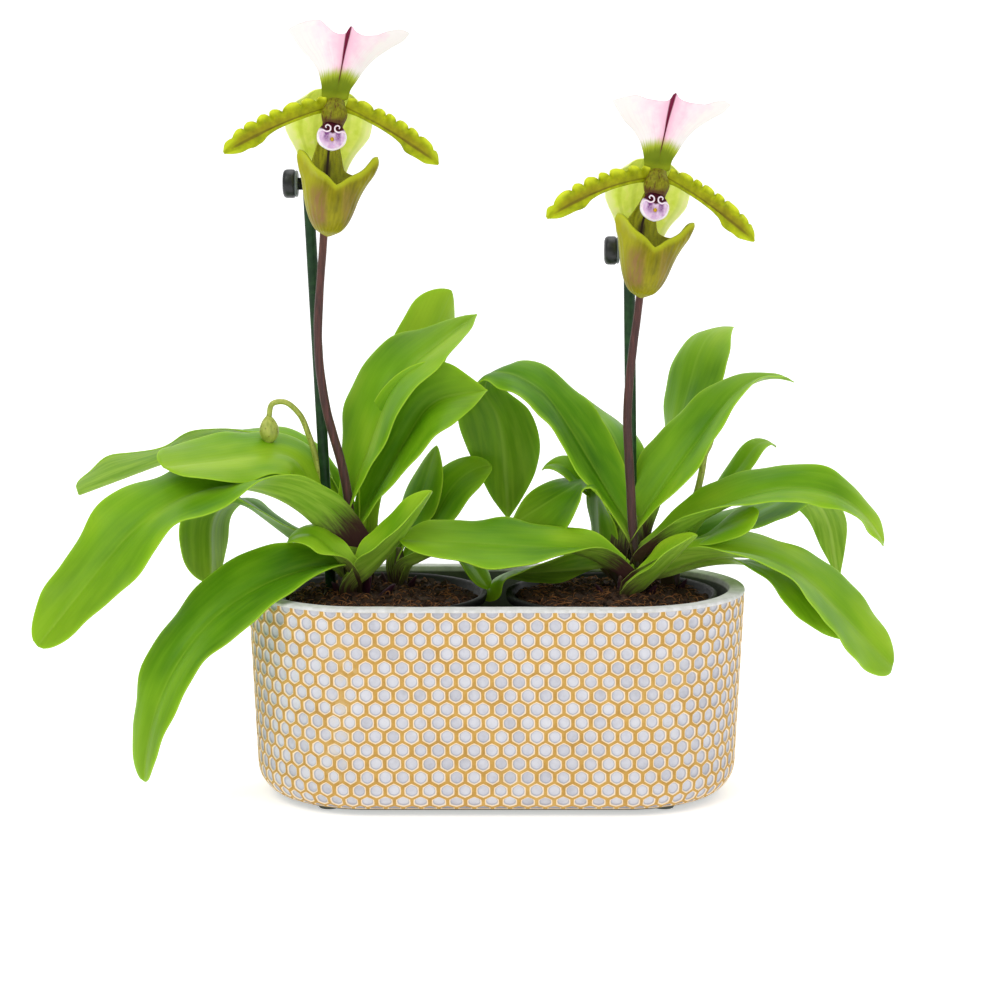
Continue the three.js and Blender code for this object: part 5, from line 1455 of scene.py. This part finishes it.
# Depth below the receptacle, half width, half depth and how far forward the middle is
POUCH_LEVELS = [
    (3, 7, 5, 1), (9, 8.5, 6.5, 3), (16, 11, 7.5, 4), (24, 14.2, 8.5, 6), (29, 14.1, 9.2, 7.4),
    (33, 13.1, 9.5, 8.5), (41, 10.9, 9.5, 9.5), (48, 8.6, 8.2, 9.5), (53, 5.4, 5.4, 9.3),
    (55.8, 0.4, 0.4, 9),
]
# Height of the rim from the front (0) round to the back (1)
POUCH_RIM = [
    (0, -34.2), (0.04, -33.2), (0.1, -31.2), (0.16, -29.7), (0.22, -28.4), (0.27, -26.8), (0.31, -24.8),
    (0.35, -22.9), (0.39, -21.9), (0.45, -21.6), (0.51, -22), (0.56, -23.4), (0.61, -26.6), (0.66, -29.4),
    (0.76, -30.2), (0.82, -29), (0.86, -24), (0.89, -14), (0.96, -5), (1, -1.5),
]
POUCH_WALL = 0.8


def pouch(shape, matrix, sink):
    """The slipper: an outer and an inner wall from the rim to the toe, joined along the rim"""
    around, rings = 128, 60
    angle = full_turn(around)
    share = np.abs(np.where(angle > np.pi, 2 * np.pi - angle, angle)) / np.pi
    rim = curve_through(POUCH_RIM, share)
    points, extra, plain = [], [], []
    for inset in (0.0, POUCH_WALL):
        for i in range(rings + 1):
            t = i / rings
            y = lerp(rim, -55.4 + inset, t**0.9)
            wide, deep, middle = curve_through(POUCH_LEVELS, -y).T
            lip = 1 - float(step(i, 0, rings * 0.5))
            ear = 1.3 * hump(share, 0.42, 0.15) * lip + 2.1 * hump(share, 0.45, 0.11) * hump(i, 0, 12)
            roll = -0.5 * hump(i, 0, 3) * hump(share, 0.46, 0.13)
            fold = 2.2 * step(share, 0.8, 1.0) * (1 - smooth(t))
            slit = 1.6 * hump(share, 1.0, 0.035) * (1 - smooth(t * 1.4))
            behind = step(share, 0.72, 0.84)
            shift = lerp(1.9 * step(y, -42, -24), -1.3 * step(y, -44, -30), behind)
            drop = step(y, -13, -27)
            # The front rim rolls inward a little
            inroll = 0.9 * hump(i, 0, 2.5) * step(share, 0.35, 0.1)
            x = np.sin(angle) * (wide - inset + ear + roll - inroll) + shift
            z = middle + np.cos(angle) * (deep - inset - fold - inroll) - slit * np.cos(angle)
            vein = 0.12 * np.sin(angle * 26 + 2.0 * t) * (1 - hump(i, 0, 4))
            x = x + vein * np.sin(angle)
            z = z + vein * np.cos(angle)
            points.append(np.stack([x + sink[0] * drop, y + sink[1] * drop, z], -1))
            extra.append(np.stack([np.full(around, t), share, np.full(around, inset > 0)], -1))
            plain.append(np.stack([x - shift, y, z], -1))
    inner = (rings + 1) * around
    toes = [points[rings].mean(axis=0) - [0, 0.4, 0], points[-1].mean(axis=0)]
    own = np.vstack([*points, toes])
    grid = np.vstack([*extra, [[1, 0, 0], [1, 0, 1]]])
    straight = np.vstack([*plain, [[0, -56, 9], [0, -55, 9]]])
    # Rows run downwards here, so the outer wall's faces are turned and the inner wall's are not
    faces = [[a, d, c, b] for a, b, c, d in grid_faces(rings + 1, around, around=True)]
    faces += [[b, c, d, a] for a, b, c, d in grid_faces(rings + 1, around, start=inner, around=True)]
    index = np.arange(around)
    following = (index + 1) % around
    faces += np.stack([following, index, inner + index, inner + following], -1).tolist()
    outer_end, inner_end = rings * around, inner + rings * around
    for j, k in zip(index.tolist(), following.tolist()):
        faces.append([outer_end + j, outer_end + k, len(own) - 2])
        faces.append([inner_end + k, inner_end + j, len(own) - 1])
    world = placed(own, matrix)
    shape.add(world, outward(world, faces), own=straight, grid=grid)


SHIELD_X, SHIELD_Y, SHIELD_Z = -2, -14.8, 10.4
SHIELD_SIZE, SHIELD_DOME = 6.0, 1.9
CURL = [
    [-5.9, -0.9], [-5.5, 1.1], [-4.1, 2.0], [-2.5, 1.5], [-1.05, 2.1], [-0.95, 3.5], [-2.05, 4.2],
    [-2.9, 3.6], [-2.6, 2.9],
]


def shield():
    """Broad, heart shaped, domed, widest below its middle"""
    angle = full_turn(72)
    low = np.abs(angle - 3 * np.pi / 2)
    low = np.minimum(low, 2 * np.pi - low)
    uneven = 0.05 * hump(low, 1.15, 0.45) - 0.07 * hump(low, 2.3, 0.4) - 0.02 * hump(low, 0.45, 0.3)
    outline = SHIELD_SIZE * (1 + uneven)
    front, back = [], []
    for r in np.linspace(1, 0.02, 20):
        x = SHIELD_X + outline * r * np.cos(angle)
        y = SHIELD_Y + outline * r * np.sin(angle) * 1.02
        dome = SHIELD_DOME * math.sqrt(max(0, 1 - r**2))
        dent = 0.9 * hump(x, SHIELD_X, 1.1) * step(y, -21, -17) * step(y, -12.5, -15)
        lean = -(y - SHIELD_Y) * 0.2
        front.append(np.stack([x, y, SHIELD_Z + dome + lean - dent * dome / SHIELD_DOME], -1))
        back.append(np.stack([x, y, SHIELD_Z - dome * 0.5 + lean], -1))
    return tube(np.array(back[::-1] + front[1:]))


def shield_curl(side):
    """A thin white curl from the margin inwards and round"""
    path = through(CURL, np.linspace(0, 1, 44))
    reach = np.hypot(path[:, 0], path[:, 1]) / 6.3
    rise = SHIELD_Z + 0.15 + SHIELD_DOME * np.sqrt(np.clip(1 - reach**2, 0.02, 1)) - path[:, 1] * 0.2
    path = np.stack([SHIELD_X - side * path[:, 0], SHIELD_Y + path[:, 1], rise], -1)
    return tube(swept(path, 0.33 * np.sin(np.linspace(0.35, np.pi - 0.2, 44)) ** 0.35, 10))


def tooth():
    """The small yellow tooth in the middle of the shield"""
    t = np.linspace(0.02, 1, 12)
    angle = full_turn(16)
    size = 0.75 * np.sqrt(1 - (2 * t - 1) ** 2 * 0.98)
    y = np.repeat((-16.2 + 1.7 * (t - 0.5))[:, None], 16, 1)
    x = SHIELD_X + size[:, None] * np.cos(angle)
    return tube(np.stack([x, y, 12.3 + size[:, None] * 0.7 * np.sin(angle)], -1))


def column(shape, matrix):
    """The short thick column, the shield at its end, its two curls and the tooth"""
    stem = rod([[-0.2, -1.2, 2.2], [-0.8, -5.5, 4.6], [-1.6, -11, 7.6]], [3.6, 5.4, 4.2], 32, 20)
    parts = (stem, 0), (shield(), 1), (shield_curl(-1), 2), (shield_curl(1), 2), (tooth(), 3)
    for (points, faces), zone in parts:
        world = placed(points, matrix)
        shape.add(world, outward(world, faces), own=points, zone=zone)


def sepal_material():
    look = Look("dorsal_sepal", roughness=0.55, Specular_IOR_Level=0.15)
    along, across, _ = look.split("grid")
    y = look.split("own")[1]
    own = look.attribute("own")["Vector"]
    wide = look.size(across)
    soft = look.noise(own, 0.25, 3.0, 0.5)
    streak = look.noise(look.joined(across, along, 34.0, 1.6), 1.0, 2.0, 0.6)
    body = look.ramp(look.plus(look.times(soft, 0.5), look.times(wide, 0.6)),
                     (0.3, "ecc5d4"), (0.5, "edd9df"), (0.7, "ebe5e2"))
    veins = look.band(look.math("SINE", look.times(across, 64.0)), 0.55, 1.0)
    veins = look.times(veins, look.band(along, 1.0, 0.45, 0.0, 0.5))
    body = look.mix(look.both(veins, look.band(streak, 0.3, 0.7, 0.0, 0.5)), body, "e3a7be")
    green_line = look.strayed(y, streak, 6.0)
    green_line = look.plus(green_line, look.times(wide, 3.0))
    body = look.over(body, "a3b42c", green_line, 14.5, 10.5)
    body = look.over(body, "6f8208", green_line, 11.5, 8.0)
    body = look.over(body, "8f9f12", y, 4.0, 0.5)
    stripe = look.strayed(wide, streak, 0.015)
    stripe = look.both(look.band(stripe, 0.062, 0.036), look.band(y, 5.5, 9.5))
    body = look.mix(stripe, body, "6d0f35")
    halo = look.both(look.band(wide, 0.2, 0.05, 0.0, 0.45), look.band(y, 9.0, 13.0))
    body = look.mix(look.math("SUBTRACT", halo, stripe, True), body, "e5a4bf")
    look.fleshy(0.2, (1.0, 0.7, 0.7))
    return look.finish(body, veins, 0.15, 0.4)


def petal_material():
    look = Look("petal", roughness=0.5, Specular_IOR_Level=0.15)
    along, across, _ = look.split("grid")
    ripple = look.value("ripple")
    own = look.attribute("own")["Vector"]
    soft = look.noise(own, 0.35, 3.0, 0.55)
    streak = look.noise(look.joined(across, along, 9.0, 8.0), 1.0, 4.0, 0.65)
    body = look.ramp(soft, (0.3, "848f00"), (0.5, "9aa400"), (0.75, "b4bc08"))
    rib = look.strayed(across, streak, 0.35)
    length = look.times(look.band(along, 0.98, 0.8), look.band(along, 0.15, 0.6, 0.35, 1.0))
    flush = look.both(look.band(look.size(look.minus(rib, 0.18)), 0.6, 0.1), length)
    body = look.mix(look.times(flush, 0.5), body, "7a5a14")
    midrib = look.both(look.band(look.size(across), 0.2, 0.06), look.band(along, 0.97, 0.85, 0.0, 0.6))
    body = look.mix(midrib, body, "5a460e")
    brownish = look.both(look.band(streak, 0.55, 0.7), look.band(along, 0.4, 0.05, 0.0, 0.6))
    body = look.mix(brownish, body, "5f4a12")
    body = look.over(body, "d6e02e", ripple, 0.25, 0.8, 0.0, 0.95)
    end = look.times(look.band(along, 0.75, 1.0), look.band(look.size(rib), 0.3, 0.7))
    body = look.mix(end, body, "bcca1e")
    look.fleshy(0.15, (0.8, 1.0, 0.2))
    return look.finish(body, streak, 0.3, 0.5)


def synsepal_material():
    look = Look("synsepal", roughness=0.5)
    across = look.split("grid")[1]
    own = look.attribute("own")["Vector"]
    soft = look.noise(own, 0.25, 3.0, 0.5)
    body = look.ramp(soft, (0.3, "d3e34a"), (0.55, "e2ee6a"), (0.8, "edf595"))
    veins = look.band(look.math("SINE", look.times(across, 17.0)), 0.3, 1.0, 0.0, 0.35)
    body = look.mix(veins, body, "b7c828")
    body = look.over(body, "f1f6c0", look.size(across), 0.7, 1.0, 0.0, 0.6)
    # Painted light: the sheet glows faintly in its own colour, standing in for light shining through it
    # where the petals shade it.
    look.glow(body, 0.18)
    look.fleshy(0.2, (0.8, 1.0, 0.3))
    return look.finish(body, veins, 0.2, 0.4)


def pouch_material():
    look = Look("pouch", roughness=0.42, Specular_IOR_Level=0.2)
    along, share, inside = look.split("grid")
    x, y, _ = look.split("own")
    own = look.attribute("own")["Vector"]
    soft = look.noise(look.scaled(own, 0.20, 0.08, 0.2), 1.0, 3.0, 0.55)
    streak = look.noise(look.scaled(own, 0.9, 0.12, 0.9), 1.0, 4.0, 0.6)
    body = look.ramp(look.plus(look.times(soft, 0.65), look.times(streak, 0.35)),
                     (0.3, "635d00"), (0.5, "807a02"), (0.75, "a39c0e"))
    body = look.over(body, "b4b428", x, -4.0, -12.0, 0.0, 0.55)
    off = look.size(look.plus(x, look.times(look.plus(y, 40.0), 0.12)))
    mauve = look.both(look.band(off, 2.0, 5.0), look.band(off, 11.5, 7.5))
    mauve = look.both(mauve, look.band(x, 6.0, -2.0, 0.55, 1.0))
    mauve = look.both(mauve, look.band(y, -33.0, -38.0))
    mauve = look.both(mauve, look.band(soft, 0.3, 0.6, 0.35, 1.0))
    mauve = look.both(mauve, look.band(y, -55.0, -49.0))
    mauve = look.both(mauve, look.band(streak, 0.3, 0.6, 0.35, 1.0))
    body = look.mix(look.times(mauve, 0.75), body, "875a44")
    body = look.over(body, "a09a20", y, -49.0, -55.0, 0.0, 0.6)
    rim = look.band(along, 0.12, 0.0, 0.0, 0.85)
    rim = look.both(rim, look.band(share, 0.72, 0.62))
    body = look.mix(rim, body, "b4bd1c")
    back = look.band(share, 0.7, 0.8)
    lobe = look.mix(look.band(streak, 0.35, 0.7), "868a0c", "a5a716")
    speck = look.noise(own, 1.5, 3.0, 0.7)
    spots = look.both(look.band(speck, 0.54, 0.64), look.band(y, -8.0, -24.0, 1.0, 0.35))
    lobe = look.mix(spots, lobe, "5d1f22")
    # Painted shade: the slit between the back lobes and the deep part of the opening are darkened where the
    # inside of the pouch lies in shadow.
    slit = look.both(look.band(look.size(x), 0.7, 0.35), look.band(y, -8.0, -16.0))
    lobe = look.mix(slit, lobe, "2a1c08")
    deep = look.both(look.band(look.size(x), 2.0, 0.9), look.band(y, -22.0, -28.0))
    lobe = look.mix(look.times(deep, 0.8), lobe, "33220a")
    body = look.mix(back, body, lobe)
    body = look.mix(look.times(look.times(inside, look.band(share, 0.8, 0.7)), 0.6), body, "8e9416")
    look.rough(look.band(streak, 0.3, 0.7, 0.3, 0.45))
    look.fleshy(0.1, (0.8, 0.8, 0.3))
    return look.finish(body, streak, 0.3, 0.5)


def column_material():
    look = Look("column", roughness=0.45, Specular_IOR_Level=0.12)
    zone = look.value("zone")
    x, y, _ = look.split("own")
    own = look.attribute("own")["Vector"]
    soft = look.noise(own, 0.45, 3.0, 0.6)
    speck = look.noise(own, 1.6, 3.0, 0.7)
    stem = look.mix(look.band(soft, 0.35, 0.7), "6f6e10", "8b8c1a")
    thread = look.noise(look.scaled(own, 1.4, 0.25, 0.6), 1.0, 3.0, 0.7)
    stem = look.over(stem, "55281a", thread, 0.5, 0.64, 0.0, 0.8)
    stem = look.over(stem, "4a1820", y, -6.5, -9.0, 0.0, 0.8)
    off = look.size(look.plus(x, 2.0))
    shield = look.ramp(look.plus(soft, look.times(off, 0.02)),
                       (0.3, "b98cbb"), (0.5, "d3b4d2"), (0.75, "e6d6e4"))
    violet = look.both(look.band(look.size(look.minus(off, 2.4)), 1.7, 0.4), look.band(y, -18.5, -15.0))
    shield = look.mix(look.times(violet, look.band(speck, 0.35, 0.6, 0.6, 1.0)), shield, "74397a")
    shield = look.over(shield, "3f0718", look.plus(y, look.times(off, -0.35)), -14.4, -13.4)
    rim = look.plus(look.times(off, off), look.math("POWER", look.size(look.plus(y, 14.8)), 2.0))
    rim = look.both(look.band(rim, 24.0, 32.0), look.band(y, -13.4, -14.8))
    shield = look.mix(rim, shield, "f2ebee")
    curl = look.mix(soft, "f2e8ec", "e6d2e0")
    tooth = look.mix(soft, "a8820c", "c7a62a")
    body = look.mix(look.band(zone, 0.3, 0.7), stem, shield)
    body = look.over(body, curl, zone, 1.3, 1.7)
    body = look.over(body, tooth, zone, 2.3, 2.7)
    look.fleshy(0.15, (1.0, 0.2, 0.1), 1.0)
    return look.finish(body, soft, 0.2, 0.4)


SEPAL, PETAL, SYNSEPAL = sepal_material(), petal_material(), synsepal_material()
POUCH, COLUMN = pouch_material(), column_material()


def flower_piece(make, name, material, node, slot, *details):
    """One piece of a flower, whose shape is added by make with the given details"""
    shape = Shape()
    make(shape, *details)
    shape.build(name, material, [node])


for side, spec in FLOWERS.items():
    centre, yaw = spec["centre"], spec["yaw"]
    own = flower_frame(centre, yaw, spec["roll"])
    roll, lean = spec["dorsal"]
    dorsal = flower_frame(centre, yaw, roll)
    flower_piece(dorsal_sepal, f"dorsal_sepal_{side}_sheet", SEPAL, f"dorsal_sepal_{side}", "dorsal_sepal",
                 dorsal, lean, side)
    for letter, (tip, arch), seed in zip("ab", spec["petals"], (0.4, 2.2)):
        flower_piece(petal, f"petal_{letter}_{side}_blade", PETAL, f"petal_{letter}_{side}", "petal",
                     flower_frame(centre, yaw, 0), tip, arch, seed + (1.1 if side == "right" else 0))
    flower_piece(synsepal, f"synsepal_{side}_sheet", SYNSEPAL, f"synsepal_{side}", "synsepal", own)
    flower_piece(pouch, f"pouch_{side}_shell", POUCH, f"pouch_{side}", "pouch", own, spec["sink"])
    flower_piece(column, f"column_{side}_shield", COLUMN, f"column_{side}", "column_shield", own)


# Floor, light and world

def make_floor():
    """A floor that curves up into the wall behind"""
    ys = [-4.0, 2.5] + [2.5 + 1.5 * math.sin(t) for t in np.linspace(0.1, math.pi / 2, 16)] + [4.0]
    zs = [0.0, 0.0] + [1.5 * (1 - math.cos(t)) for t in np.linspace(0.1, math.pi / 2, 16)] + [7.0]
    points = [(x, y, z) for y, z in zip(ys, zs) for x in (-6.0, 6.0)]
    faces = [(2 * i, 2 * i + 1, 2 * i + 3, 2 * i + 2) for i in range(len(ys) - 1)]
    mesh = bpy.data.meshes.new("floor")
    mesh.from_pydata(points, [], faces)
    mesh.polygons.foreach_set("use_smooth", [True] * len(faces))
    look = Look("floor", roughness=0.85)
    look.colour(look.mix(look.noise(look.place(), 1.3, 2.0, 0.5), "f6f6f7", "f8f8f8"))
    look.glow((1, 1, 1, 1), 0.47)
    mesh.materials.append(look.material)
    floor = bpy.data.objects.new("floor", mesh)
    bpy.context.scene.collection.objects.link(floor)
    floor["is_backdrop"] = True


def area_light(name, place, target, size, power):
    data = bpy.data.lights.new(name, "AREA")
    data.shape = "DISK"
    data.size = size
    data.energy = power
    light = bpy.data.objects.new(name, data)
    light.location = Vector(place)
    light.rotation_euler = (Vector(target) - Vector(place)).to_track_quat("-Z", "Y").to_euler()
    bpy.context.scene.collection.objects.link(light)


make_floor()
area_light("key", (-1.1, -1.6, 2.0), (0, 0, 0.15), 1.6, 24)
area_light("fill", (1.6, -1.4, 1.2), (0, 0, 0.15), 1.8, 7)
area_light("top", (0.1, 0.5, 2.4), (0, 0, 0.1), 1.8, 16)
world = bpy.data.worlds.new("studio")
bpy.context.scene.world = world
world.use_nodes = True
background = world.node_tree.nodes["Background"]
background.inputs[0].default_value = (1, 1, 1, 1)
background.inputs[1].default_value = 0.5
bpy.context.scene.view_settings.view_transform = "Standard"

low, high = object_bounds()
